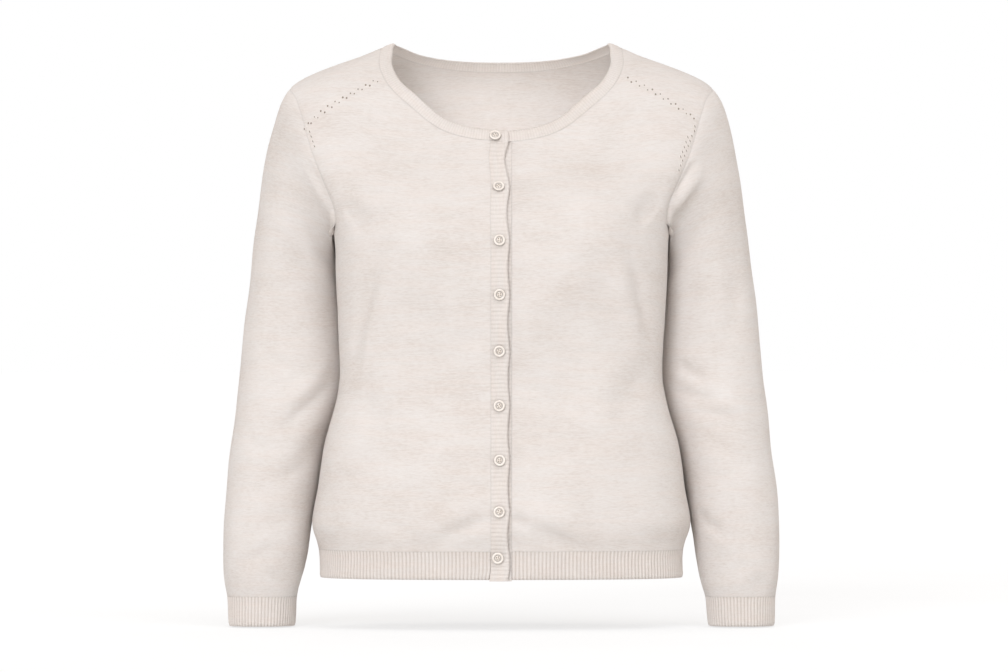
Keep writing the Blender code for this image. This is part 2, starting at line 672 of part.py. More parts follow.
for side, name, sign in ((1, "placket_left", -1), (-1, "placket_right", 1)):
    ca = np.linspace(PLACKET_X - PLACKET_W, PLACKET_X, 3)
    rows = np.concatenate([np.linspace(HEM_Z - 0.0015, RIB_Z, 3)[:-1], fg[0, :JK + 1, 1]])
    share = (rows - rows[0]) / (rows[-1] - rows[0])
    top = neck_z(ca)
    gz = rows[None, :] + (top[:, None] - rows[-1]) * share[None, :] ** 6
    ga = np.broadcast_to(ca[:, None], gz.shape)
    strip(ga, gz, front, sign * LAP, RIB, name, side)

# neck band: one strip from the under end, round the left front, the back, the right front, to the upper end
path_p, path_n = [], []


def go(half, a, z, mir, lift):
    a, z = np.atleast_1d(a), np.atleast_1d(z)
    n = half.normal(a, z)
    p = half.point(a, z) + n * np.atleast_1d(lift)[:, None]
    for q, w in zip(p, n):
        path_p.append(q * (mir, 1, 1))
        path_n.append(w * (mir, 1, 1))


neck_f = np.vstack([fg[:K, JK], fg[K, JK:]])        # centre front to shoulder
neck_b = bg[:BACK_GRID[0] + 1, BACK_GRID[5]]         # centre back to shoulder
end_a = np.array([PLACKET_X - PLACKET_W, 0.001])
go(front, end_a, neck_z(end_a), 1, np.full(2, -LAP))
go(front, neck_f[:, 0], neck_f[:, 1], 1, -lap(neck_f[:, 0]))
go(back, neck_b[-2::-1, 0], neck_b[-2::-1, 1], 1, np.zeros(len(neck_b) - 1))
go(back, neck_b[1:-1, 0], neck_b[1:-1, 1], -1, np.zeros(len(neck_b) - 2))
go(front, neck_f[::-1, 0], neck_f[::-1, 1], -1, lap(neck_f[::-1, 0]))
end_a = np.array([0.001, -0.0085])
go(front, end_a, neck_z(end_a), -1, np.full(2, LAP))
P, W = np.array(path_p), np.array(path_n)
T = np.gradient(P, axis=0)
T[0], T[-1] = P[1] - P[0], P[-1] - P[-2]
T[:, 2][np.abs(P[:, 0]) < 0.012] *= 0.3
across = np.cross(W, T)
across /= np.linalg.norm(across, axis=1, keepdims=True)
ids = np.arange(len(P) * 3).reshape(len(P), 3)
pts = np.stack([P + across * NECK_BAND * s + W * h for s, h in ((0, 0), (0.5, 0.0004), (1, 0.0002))], axis=1).reshape(-1, 3)
nrm = np.repeat(W, 3, axis=0)
pts = inset(pts, nrm, ids, GAP / 2)
v, f, _ = wall_mesh(ids, pts, pts - nrm * WALL, nrm)
finish_node("neckband", v, f, RIB, 0.9)

# buttons: a turned disc with a raised rim and a dished middle, standing on the upper band
PROFILE_BUTTON = (     # radius, height as shares of radius and thickness
    (0.00, 0.00), (0.80, 0.00), (0.97, 0.25), (1.00, 0.50), (0.96, 0.86), (0.86, 1.00), (0.74, 0.86), (0.64, 0.62), (0.00, 0.55),
)
for k, (bx, bz, tip) in enumerate(BUTTONS, 1):
    name = "button_%d" % k
    mesh = bpy.data.meshes.new(name)
    pr = [(r * BUTTON_D / 2, 0.0, h * BUTTON_T) for r, h in PROFILE_BUTTON]
    mesh.from_pydata(pr, [(i, i + 1) for i in range(len(pr) - 1)], [])
    obj = bpy.data.objects.new(name, mesh)
    garment.objects.link(obj)
    turn = obj.modifiers.new("turn", "SCREW")
    turn.axis = "Z"
    turn.steps = turn.render_steps = 12
    turn.use_merge_vertices = True
    turn.merge_threshold = 0.00001
    turn.use_normal_calculate = True
    turn.use_smooth_shade = True
    a, z = -bx * MM, bz * MM
    n = Vector(front.normal(a, z) * (-1, 1, 1))
    p = Vector(front.point(a, z) * (-1, 1, 1))
    lift = LAP + GAP + (0.0016 if k == 1 else 0.0005)
    n = Matrix.Rotation(math.radians(tip), 3, "X").inverted() @ n
    obj.matrix_world = Matrix.Translation(p + n * lift) @ n.to_track_quat("Z", "Y").to_matrix().to_4x4()
    mat = bpy.data.materials.new(name + "_finish")
    mat.use_nodes = True
    shader = mat.node_tree.nodes["Principled BSDF"]
    shader.inputs["Base Color"].default_value = PEARL
    shader.inputs["Roughness"].default_value = 0.3
    shader.inputs["Metallic"].default_value = 0.0
    mesh.materials.append(mat)
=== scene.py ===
import math

import bpy
import numpy as np
from mathutils import Matrix, Vector, kdtree


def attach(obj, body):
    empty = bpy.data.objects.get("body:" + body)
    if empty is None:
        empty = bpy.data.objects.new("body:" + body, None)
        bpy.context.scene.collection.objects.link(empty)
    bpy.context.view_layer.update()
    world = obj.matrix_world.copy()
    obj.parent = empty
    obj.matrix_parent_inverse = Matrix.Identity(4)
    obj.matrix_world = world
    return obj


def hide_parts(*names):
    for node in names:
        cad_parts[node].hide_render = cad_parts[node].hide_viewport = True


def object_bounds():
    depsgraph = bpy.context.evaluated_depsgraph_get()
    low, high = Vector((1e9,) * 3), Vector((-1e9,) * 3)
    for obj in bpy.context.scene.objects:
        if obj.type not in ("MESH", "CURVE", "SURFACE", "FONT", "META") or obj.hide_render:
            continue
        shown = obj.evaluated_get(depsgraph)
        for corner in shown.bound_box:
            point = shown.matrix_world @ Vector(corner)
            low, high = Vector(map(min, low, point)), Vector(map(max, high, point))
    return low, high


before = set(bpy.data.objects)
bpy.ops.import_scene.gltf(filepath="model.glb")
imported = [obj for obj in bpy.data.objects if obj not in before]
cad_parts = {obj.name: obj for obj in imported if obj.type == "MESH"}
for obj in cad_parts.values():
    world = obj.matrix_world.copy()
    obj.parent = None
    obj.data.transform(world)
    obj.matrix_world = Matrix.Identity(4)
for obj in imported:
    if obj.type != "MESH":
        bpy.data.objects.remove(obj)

cad_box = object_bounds()

# ---------------------------------------------------------------- driving sizes (metres)
MM = 0.001
WALL = 2.0 * MM            # cloth wall
GAP = 0.3 * MM             # space between pieces at a seam
HEM_Z = -0.6125            # bottom edge of the hem band
RIB_Z = -0.5805            # seam between panels and hem band
CUFF_DROP = 0.0340         # length of a cuff
NECK_BAND = 0.0145         # height of the neck band
PLACKET_W = 0.0213         # width of a front band
PLACKET_X = 0.0118         # seam of each front band, from the centre line
LAP = 1.2 * MM             # the upper band lies this far out, the lower one this far in
RAMP = 0.018               # a front panel comes up or down to its band over this width
BUTTON_D = 0.0140
BUTTON_T = 0.0026
BUTTONS = (                # centre of each button, millimetres: x, z, how far it tips up (degrees)
    (-7.0, -110.2, 12),
    (-3.0, -168.0, 4),
    (-2.2, -228.5, 3),
    (-2.0, -289.5, 1),
    (-2.3, -353.3, 0),
    (-2.3, -415.6, 0),
    (-1.8, -477.2, 0),
    (-2.4, -535.3, 2),
    (-4.0, -587.5, 0),
)

# Torso, one horizontal section per row, millimetres:
#  z height | w half width | y0 depth of the widest line | f depth at centre front | b depth at centre back
#  pf, pb squareness of the front and the back half
TORSO = (
    #    z      w      y0     f      b     pf    pb
    (    4, 108.0,    0,  20.0,  30.0, 2.20, 2.20),
    (   -4, 136.0,    0,  26.0,  46.0, 2.20, 2.20),
    (  -10, 149.5,    0,  31.0,  58.0, 2.20, 2.20),
    (  -17, 167.0,    0,  36.0,  70.0, 2.25, 2.20),
    (  -24, 188.0,    0,  41.0,  79.0, 2.30, 2.25),
    (  -31, 206.5,    0,  46.0,  86.0, 2.35, 2.30),
    (  -38, 222.5,    0,  51.0,  91.0, 2.40, 2.35),
    (  -45, 235.0,    0,  55.0,  95.0, 2.50, 2.40),
    (  -51, 242.5,    0,  58.0,  98.0, 2.60, 2.45),
    (  -60, 249.0,    0,  63.0, 101.0, 2.70, 2.50),
    (  -75, 253.0,   -2,  67.5, 105.0, 2.85, 2.60),
    (  -92, 252.5,   -4,  75.0, 109.0, 2.95, 2.70),
    ( -110, 248.0,   -7,  83.0, 113.0, 3.00, 2.70),
    ( -130, 240.0,  -10,  93.0, 117.0, 3.00, 2.70),
    ( -150, 229.5,  -13, 104.0, 121.0, 2.95, 2.70),
    ( -170, 216.5,  -16, 116.0, 124.0, 2.90, 2.60),
    ( -190, 203.5,  -19, 127.0, 127.0, 2.80, 2.50),
    ( -205, 196.0,  -21, 134.0, 128.0, 2.70, 2.45),
    ( -217, 192.6,  -24, 139.5, 129.0, 2.65, 2.40),
    ( -232, 191.0,  -27, 143.0, 129.0, 2.60, 2.40),
    ( -255, 190.3,  -31, 145.0, 127.0, 2.55, 2.35),
    ( -285, 189.0,  -35, 145.0, 123.0, 2.50, 2.30),
    ( -320, 186.9,  -39, 142.5, 118.0, 2.45, 2.25),
    ( -350, 185.4,  -42, 139.5, 114.0, 2.45, 2.20),
    ( -385, 184.8,  -42, 137.0, 113.0, 2.45, 2.20),
    ( -410, 188.6,  -40, 138.0, 115.0, 2.45, 2.25),
    ( -433, 195.0,  -37, 140.0, 120.0, 2.50, 2.30),
    ( -456, 202.0,  -34, 142.5, 125.0, 2.50, 2.35),
    ( -480, 206.3,  -31, 145.0, 131.0, 2.50, 2.40),
    ( -502, 209.4,  -28, 147.5, 136.0, 2.50, 2.40),
    ( -525, 213.0,  -25, 149.5, 141.0, 2.50, 2.40),
    ( -546, 216.6,  -22, 150.0, 145.0, 2.50, 2.40),
    ( -558, 215.8,  -21, 148.5, 145.0, 2.50, 2.40),
    ( -569, 212.0,  -20, 144.5, 142.5, 2.50, 2.40),
    ( -580, 209.2,  -19, 140.5, 139.5, 2.50, 2.40),
    ( -596, 208.6,  -19, 139.5, 138.5, 2.50, 2.40),
    ( -625, 208.8,  -19, 139.5, 138.5, 2.50, 2.40),
)
BUST = dict(x=112.0, z=-214.0, out=13.0, sx=60.0, up=68.0, down=66.0)

# Neck seam on the front, centre front to shoulder, millimetres
NECK_FRONT = (
    #   x       z
    (   0.0, -115.4),
    (  18.0, -114.2),
    (  36.0, -111.8),
    (  53.0, -107.4),
    (  68.0, -101.2),
    (  82.0,  -92.2),
    (  95.0,  -81.5),
    ( 108.5,  -70.0),
    ( 121.0,  -58.6),
    ( 130.5,  -47.0),
    ( 137.0,  -34.5),
    ( 140.0,  -21.5),
    ( 139.0,  -11.0),
    ( 136.0,   -4.0),
)
NECK_CORNER = 7            # row where the curve runs at 45 degrees
# Neck seam on the back, centre back to shoulder
NECK_BACK = (
    (   0.0,  -29.0),
    (  30.0,  -28.4),
    (  58.0,  -26.0),
    (  84.0,  -21.6),
    ( 108.0,  -15.4),
    ( 126.0,   -8.8),
    ( 136.0,   -4.0),
)
# Armhole seam, shoulder tip to underarm, seen from the front and from the back
ARM_FRONT = (
    #   x       z
    ( 242.0,  -50.6),
    ( 237.0,  -61.0),
    ( 231.0,  -76.0),
    ( 226.0,  -92.0),
    ( 221.5, -109.0),
    ( 216.5, -126.0),
    ( 210.5, -143.0),
    ( 203.5, -160.0),
    ( 197.0, -176.0),
    ( 192.0, -190.5),
    ( 190.3, -201.5),
    ( 192.0, -210.0),
    ( 192.9, -216.0),
)
ARM_BACK = (
    ( 242.0,  -50.6),
    ( 238.5,  -61.0),
    ( 234.0,  -76.0),
    ( 230.5,  -92.0),
    ( 227.0, -109.0),
    ( 222.5, -126.0),
    ( 216.0, -143.0),
    ( 208.0, -160.0),
    ( 199.5, -176.0),
    ( 192.8, -190.5),
    ( 190.6, -201.5),
    ( 191.8, -210.0),
    ( 192.9, -216.0),
)
ARM_CORNER = 9             # row where the armhole turns under the arm

# Sleeve, one section per row, millimetres: inner and outer point seen from the front,
# depth of the section's centre and its half depth
SLEEVE = (
    #  x_in   z_in    x_out   z_out   yc     d
    ( 193.0, -216.0, 242.0,  -50.6,  -2.0, 66.0),
    ( 195.6, -220.0, 252.3,  -66.0,   2.2, 66.0),
    ( 193.8, -225.0, 260.6,  -91.0,   9.0, 65.5),
    ( 191.6, -232.0, 268.3, -119.0,  15.5, 65.0),
    ( 189.8, -242.0, 274.3, -153.0,  19.5, 64.5),
    ( 188.1, -255.0, 279.6, -190.0,  22.0, 64.0),
    ( 186.2, -275.0, 285.2, -230.0,  23.5, 63.0),
    ( 183.4, -303.0, 290.6, -277.0,  24.0, 62.0),
    ( 179.8, -337.0, 296.0, -327.0,  23.5, 61.0),
    ( 177.6, -376.0, 301.2, -375.0,  22.5, 60.5),
    ( 182.3, -407.0, 305.6, -407.0,  21.0, 60.0),
    ( 191.2, -433.0, 308.4, -433.0,  19.0, 59.0),
    ( 200.3, -459.0, 310.9, -459.0,  16.0, 58.0),
    ( 206.9, -490.0, 314.0, -490.0,  12.0, 56.5),
    ( 213.1, -524.0, 316.6, -524.0,   7.0, 55.0),
    ( 217.9, -552.0, 318.6, -552.0,   1.0, 53.5),
    ( 221.3, -578.0, 319.4, -578.0,  -3.0, 52.0),
    ( 224.8, -600.0, 319.2, -600.0,  -6.0, 50.0),
    ( 229.6, -619.0, 317.6, -619.0,  -8.0, 47.0),
    ( 234.2, -634.8, 315.0, -634.8,  -9.0, 43.0),
    ( 235.6, -650.0, 314.3, -650.0,  -9.5, 42.0),
    ( 237.2, -668.8, 313.7, -668.8, -10.0, 41.0),
)
CUFF_ROW = 19              # row of the seam between sleeve and cuff


def fair(xs, ys, x):
    """Smooth curve (natural cubic) through the rows xs, ys, read at x."""
    xs = np.asarray(xs, float)
    ys = np.asarray(ys, float)
    n = len(xs)
    h = np.diff(xs)
    a = np.zeros((n, n))
    r = np.zeros(n)
    a[0, 0] = a[-1, -1] = 1.0
    for i in range(1, n - 1):
        a[i, i - 1], a[i, i], a[i, i + 1] = h[i - 1], 2 * (h[i - 1] + h[i]), h[i]
        r[i] = 6 * ((ys[i + 1] - ys[i]) / h[i] - (ys[i] - ys[i - 1]) / h[i - 1])
    m = np.linalg.solve(a, r)
    x = np.clip(np.asarray(x, float), xs[0], xs[-1])
    i = np.clip(np.searchsorted(xs, x, side="right") - 1, 0, n - 2)
    t = x - xs[i]
    u = xs[i + 1] - x
    return ((m[i] * u ** 3 + m[i + 1] * t ** 3) / (6 * h[i])
            + (ys[i] / h[i] - m[i] * h[i] / 6) * u + (ys[i + 1] / h[i] - m[i + 1] * h[i] / 6) * t)


def profile_table():
    """TORSO rows on an even half-millimetre ladder, lightly evened out; metres, rising z."""
    rows = np.array(TORSO, float)[::-1]
    z = np.arange(rows[0, 0], rows[-1, 0] + 0.25, 0.5)
    out = [z * MM]
    k = np.exp(-0.5 * (np.arange(-16, 17) * 0.5 / 2.6) ** 2)
    k /= k.sum()
    for c in range(1, 7):
        v = fair(rows[:, 0], rows[:, c], z)
        v = np.convolve(np.concatenate([2 * v[0] - v[16:0:-1], v, 2 * v[-1] - v[-2:-18:-1]]), k, "valid")
        out.append(v * (MM if c < 5 else 1.0))
    return out


PROFILE = profile_table()


def torso(phi, z):
    """Point of the torso form. phi 0 at centre front, pi/2 at the widest line, pi at centre back; +X side."""
    phi = np.asarray(phi, float)
    z = np.asarray(z, float)
    w, y0, f, b, pf, pb = (np.interp(z, PROFILE[0], PROFILE[i]) for i in range(1, 7))
    s, c = np.sin(phi), np.cos(phi)
    front = c >= 0
    p = np.where(front, pf, pb)
    r = (np.abs(s) ** p + np.abs(c) ** p) ** (-1.0 / p)
    x = w * r * s
    y = y0 - np.where(front, f + y0, b - y0) * r * c * np.where(front, 1.0, 1.0)
    dz = (z / MM - BUST["z"])
    dz = dz / np.where(dz > 0, BUST["up"], BUST["down"])
    edge = np.clip(1 - (np.abs(x) / np.maximum(w, 1e-6)) ** 4, 0, 1)
    y = y - np.where(front, BUST["out"] * MM * edge * np.exp(-((np.abs(x) / MM - BUST["x"]) / BUST["sx"]) ** 2) * np.exp(-dz ** 2), 0.0)
    return np.stack([x, y, z + 0 * phi], axis=-1)


def torso_normal(phi, z):
    e = 1e-4
    a = torso(phi + 2 * e, z) - torso(phi - 2 * e, z)
    b = torso(phi, z + e) - torso(phi, z - e)
    n = np.cross(a, b)
    return n / np.maximum(np.linalg.norm(n, axis=-1, keepdims=True), 1e-12)


def side_phi(z):
    """Angle of the side seam: where the section passes y = 0."""
    y0 = np.interp(z, PROFILE[0], PROFILE[2])
    b = np.interp(z, PROFILE[0], PROFILE[4])
    return np.pi / 2 + np.arctan2(-y0, b - y0)


class Half:
    """Front or back quarter of the torso unrolled: a = distance along the section from the centre, z = height."""

    def __init__(self, back):
        self.back = back
        self.z = np.arange(-0.625, 0.0035, 0.001)
        nt = 241
        zz = self.z[:, None]
        ps = side_phi(self.z)[:, None]
        t = np.linspace(0, 1, nt)[None, :]
        phi = (np.pi - (np.pi - ps) * t) if back else ps * t
        pts = torso(phi, zz + 0 * phi)
        d = np.linalg.norm(np.diff(pts, axis=1), axis=2)
        s = np.concatenate([np.zeros((len(self.z), 1)), np.cumsum(d, axis=1)], axis=1)
        self.length = s[:, -1]
        self.q = np.linspace(0, 1, 161)
        self.phi = np.array([np.interp(self.q * s[i, -1], s[i], phi[i]) for i in range(len(self.z))])
        self.x = torso(self.phi, zz + 0 * self.phi)[..., 0]

    def _pick(self, table, q, z):
        gi = np.clip((z - self.z[0]) / 0.001, 0, len(self.z) - 1.001)
        gj = np.clip(q * 160.0, 0, 159.999)
        i, j = gi.astype(int), gj.astype(int)
        u, v = gi - i, gj - j
        return ((table[i, j] * (1 - v) + table[i, j + 1] * v) * (1 - u)
                + (table[i + 1, j] * (1 - v) + table[i + 1, j + 1] * v) * u)

    def len_at(self, z):
        return np.interp(z, self.z, self.length)

    def angle(self, a, z):
        """Angle of the point a metres from the centre at height z."""
        a, z = np.broadcast_arrays(np.asarray(a, float), np.asarray(z, float))
        q = a / self.len_at(z)
        over = np.clip(q, 0, 1)
        ang = self._pick(self.phi, over, z)
        # just past the centre line the panel goes on across it
        return np.where(q < 0, (2 * np.pi - self._pick(self.phi, -np.minimum(q, 0), z)) if self.back else -self._pick(self.phi, -np.minimum(q, 0), z), ang)

    def a_of_x(self, x, z):
        """Distance from the centre of the point with that x at height z."""
        x, z = np.broadcast_arrays(np.asarray(x, float), np.asarray(z, float))
        out = np.empty(x.shape)
        for k in np.ndindex(x.shape):
            gi = min(max((z[k] - self.z[0]) / 0.001, 0), len(self.z) - 1.001)
            i = int(gi)
            row = self.x[i] * (1 - gi + i) + self.x[i + 1] * (gi - i)
            m = int(np.argmax(row)) + 1
            out[k] = np.sign(x[k]) * np.interp(abs(x[k]), row[:m], self.q[:m]) * self.len_at(z[k])
        return out

    def point(self, a, z):
        return torso(self.angle(a, z), z)

    def normal(self, a, z):
        return torso_normal(self.angle(a, z), z)




def run_along(points, counts):
    """Even steps along a smooth curve through points; counts = steps between the marked rows [(row, row, steps), ...]."""
    pts = np.array(points, float)
    d = np.concatenate([[0], np.cumsum(np.linalg.norm(np.diff(pts, axis=0), axis=1))])
    out = []
    for r0, r1, n in counts:
        s = np.linspace(d[r0], d[r1], n + 1)
        out.append(np.stack([fair(d, pts[:, c], s) for c in range(pts.shape[1])], axis=1))
    return out


def unrolled(half, table):
    """Rows (x, z) in millimetres as (a, z) in metres on the unrolled quarter."""
    t = np.array(table, float) * MM
    return np.stack([half.a_of_x(t[:, 0], t[:, 1]), t[:, 1]], axis=1)


def shoulder_line(half, n):
    """Shoulder seam from the neck to the tip, n even steps."""
    z = np.linspace(-0.004, ARM_FRONT[0][1] * MM, 120)
    p = half.point(half.len_at(z), z)
    s = np.concatenate([[0], np.cumsum(np.linalg.norm(np.diff(p, axis=0), axis=1))])
    zz = np.interp(np.linspace(0, s[-1], n + 1), s, z)
    return np.stack([half.len_at(zz), zz], axis=1)


def relax(g, fixed, rounds):
    """Lets the inner grid points settle to the middle of their four neighbours."""
    inner = np.zeros(g.shape[:2], bool)
    ok = ~np.isnan(g[..., 0])
    inner[1:-1, 1:-1] = ok[1:-1, 1:-1] & ~fixed[1:-1, 1:-1]
    for _ in range(rounds):
        mid = 0.25 * (g[:-2, 1:-1] + g[2:, 1:-1] + g[1:-1, :-2] + g[1:-1, 2:])
        g[1:-1, 1:-1][inner[1:-1, 1:-1]] = mid[inner[1:-1, 1:-1]]
    return g


def panel_grid(half, k, k2, n, ju, jk, m, x0, rounds, start=None):
    """Grid of one front (or half the back) on the unrolled quarter: [column, row] -> (a, z).
    Columns run up from the hem: 0..k end at the neck, k..k2 at the shoulder, k2..n under the arm.
    Rows: 0..ju end at the side seam, ju.. at the armhole; rows above jk start at the neck."""
    g = np.full((n + 1, m + 1, 2), np.nan)
    fixed = np.zeros((n + 1, m + 1), bool)

    def put(cols, rows, pts):
        for c, r, p in zip(np.broadcast_to(cols, len(pts)), np.broadcast_to(rows, len(pts)), pts):
            g[c, r] = p
            fixed[c, r] = True

    if half.back:
        neck = unrolled(half, NECK_BACK)
        neck[-1, 0] = half.len_at(neck[-1, 1])
        low, = run_along(neck, [(0, len(neck) - 1, k)])
        up = None
    else:
        t = np.array(NECK_FRONT, float) * MM
        t[0] = (x0, np.interp(x0 / MM, [r[0] for r in NECK_FRONT], [r[1] for r in NECK_FRONT]) * MM)
        neck = np.stack([half.a_of_x(t[:, 0], t[:, 1]), t[:, 1]], axis=1)
        neck[-1, 0] = half.len_at(neck[-1, 1])
        low, up = run_along(neck, [(0, NECK_CORNER, k), (NECK_CORNER, len(neck) - 1, m - jk)])
    arm = unrolled(half, ARM_BACK if half.back else ARM_FRONT)
    arm[0, 0] = half.len_at(arm[0, 1])
    arm[-1, 0] = half.len_at(arm[-1, 1])
    outer, under = run_along(arm, [(0, ARM_CORNER, m - ju), (ARM_CORNER, len(arm) - 1, n - k2)])
    a0 = low[0, 0]
    # hem line, centre line, neck, shoulder, armhole, side seam
    zr = np.linspace(RIB_Z, low[0, 1], jk + 1)
    put(0, np.arange(jk + 1), np.stack([np.full(jk + 1, a0), zr], axis=1))
    put(np.arange(n + 1), 0, np.stack([np.linspace(a0, half.len_at(RIB_Z), n + 1), np.full(n + 1, RIB_Z)], axis=1))
    put(np.arange(k + 1), jk, low)
    if up is not None:
        put(k, np.arange(jk, m + 1), up)
    put(np.arange(k, k2 + 1), m, shoulder_line(half, k2 - k))
    put(k2, np.arange(m, ju - 1, -1), outer)
    put(np.arange(k2, n + 1), ju, under)
    zs = np.linspace(RIB_Z, arm[-1, 1], ju + 1)
    put(n, np.arange(ju + 1), np.stack([half.len_at(zs), zs], axis=1))
    # first guess: a coarser lay of the same panel, or straight runs between the borders of every row
    if start is not None:
        free = ~fixed & ~np.isnan(start[..., 0])
        g[free] = start[free]
    else:
        for r in range(m + 1):
            c0 = 0 if r <= jk else k
            c1 = n if r <= ju else k2
            for c in range(c0, c1 + 1):
                if not fixed[c, r]:
                    left = max(q for q in range(c0, c) if fixed[q, r])
                    right = min(q for q in range(c + 1, c1 + 1) if fixed[q, r])
                    u = (c - left) / (right - left)
                    g[c, r] = g[left, r] * (1 - u) + g[right, r] * u
    return relax(g, fixed, rounds), fixed


def sleeve_rows(r):
    t = np.array(SLEEVE, float) * MM
    i = np.arange(len(t))
    return [fair(i, t[:, c], r) for c in range(6)]


def sleeve_ring(t, r):
    """Bare section r of the sleeve; t 0 at the outside, 0.5 in front, 1 inside, 1.5 behind."""
    xi, zi, xo, zo, yc, d = sleeve_rows(r)
    c, s = np.cos(np.pi * t), np.sin(np.pi * t)
    p = 2.12
    k = (np.abs(s) ** p + np.abs(c) ** p) ** (-1.0 / p)
    c, s = c * k, s * k
    return np.stack([(xi + xo) / 2 + (xo - xi) / 2 * c, yc - d * s, (zi + zo) / 2 + (zo - zi) / 2 * c], axis=-1)


class Sleeve:
    """Tube from the armhole seam to the cuff; loop = points of the seam at even steps of t."""

    def __init__(self, loop):
        self.loop = loop
        n = len(loop)
        self.t = np.arange(n + 1) * 2.0 / n
        self.rest = np.vstack([loop, loop[:1]]) - sleeve_ring(self.t, np.zeros(n + 1))

    def point(self, t, r):
        t, r = np.broadcast_arrays(np.asarray(t, float), np.asarray(r, float))
        u = np.mod(t, 2.0)
        rest = np.stack([np.interp(u, self.t, self.rest[:, c]) for c in range(3)], axis=-1)
        f = np.clip(1 - r / 5.5, 0, 1)
        return sleeve_ring(u, r) + rest * (f * f * (3 - 2 * f))[..., None]

    def normal(self, t, r):
        e = 0.02
        a = self.point(t + e, r) - self.point(t - e, r)
        r0, r1 = np.maximum(r - 0.05, 0), np.minimum(r + 0.05, len(SLEEVE) - 1)
        b = self.point(t, r1) - self.point(t, r0)
        n = np.cross(a, b)
        return n / np.maximum(np.linalg.norm(n, axis=-1, keepdims=True), 1e-12)


# ---------------------------------------------------------------- finer lay of every piece
FINE = 9                               # each cell of the solids' grid is split this many times
FRONT_GRID = (5, 10, 12, 10, 14, 18)   # k, k2, n, ju, jk, m
BACK_GRID = (5, 10, 12, 10, 18, 18)
TUCK = 0.012 * MM                       # half the space left between two pieces of cloth at a seam


def finer(g, f):
    n, m = g.shape[0] - 1, g.shape[1] - 1
    out = np.full((n * f + 1, m * f + 1, 2), np.nan)
    u = np.linspace(0, 1, f + 1)[:, None, None]
    v = np.linspace(0, 1, f + 1)[None, :, None]
    for i in range(n):
        for j in range(m):
            c = g[i:i + 2, j:j + 2]
            if not np.isnan(c).any():
                out[i * f:(i + 1) * f + 1, j * f:(j + 1) * f + 1] = (
                    (c[0, 0] * (1 - u) + c[1, 0] * u) * (1 - v) + (c[0, 1] * (1 - u) + c[1, 1] * u) * v)
    return out


def lay(half, sizes, x0):
    """Coarse grid of a panel, then the same grid with finer cells and its own exact borders."""
    coarse, _ = panel_grid(half, *sizes, x0, 500)
    big = [s * FINE for s in sizes]
    g, _ = panel_grid(half, *big, x0, 260, start=finer(coarse, FINE))
    return g


def lap(a):
    """Share of the lap step: full at the front edge, none beyond the ramp."""
    u = np.clip(1 - (np.asarray(a) - PLACKET_X) / RAMP, 0, 1)
    return LAP * u * u * (3 - 2 * u)


def mirror(p, side):
    return p if side > 0 else p * np.array((-1.0, 1.0, 1.0))


def unit(v):
    return v / np.maximum(np.linalg.norm(v, axis=-1, keepdims=True), 1e-12)


front = Half(False)
back = Half(True)
fg = lay(front, FRONT_GRID, PLACKET_X)
bg = lay(back, BACK_GRID, 0.0)
K, K2, N, JU, JK, M = (s * FINE for s in FRONT_GRID)
BK, BN, BM = BACK_GRID[0] * FINE, BACK_GRID[2] * FINE, BACK_GRID[5] * FINE


def climb(half):
    """Length of cloth from the hem band up to each height, by distance from the centre."""
    a = np.linspace(0, 0.36, 121)
    z = np.arange(-0.625, 0.0035, 0.002)
    aa, zz = np.meshgrid(a, z, indexing="ij")
    p = half.point(np.minimum(aa, half.len_at(zz)), zz)
    d = np.linalg.norm(np.diff(p, axis=1), axis=2)
    d = np.minimum(d, 0.006)
    return a, z, np.concatenate([np.zeros((len(a), 1)), np.cumsum(d, axis=1)], axis=1)


def read_climb(tab, a, z):
    ta, tz, s = tab
    gi = np.clip(np.abs(a) / (ta[1] - ta[0]), 0, len(ta) - 1.001)
    gj = np.clip((z - tz[0]) / (tz[1] - tz[0]), 0, len(tz) - 1.001)
    i, j = gi.astype(int), gj.astype(int)
    u, v = gi - i, gj - j
    return (s[i, j] * (1 - u) + s[i + 1, j] * u) * (1 - v) + (s[i, j + 1] * (1 - u) + s[i + 1, j + 1] * u) * v


front_climb, back_climb = climb(front), climb(back)

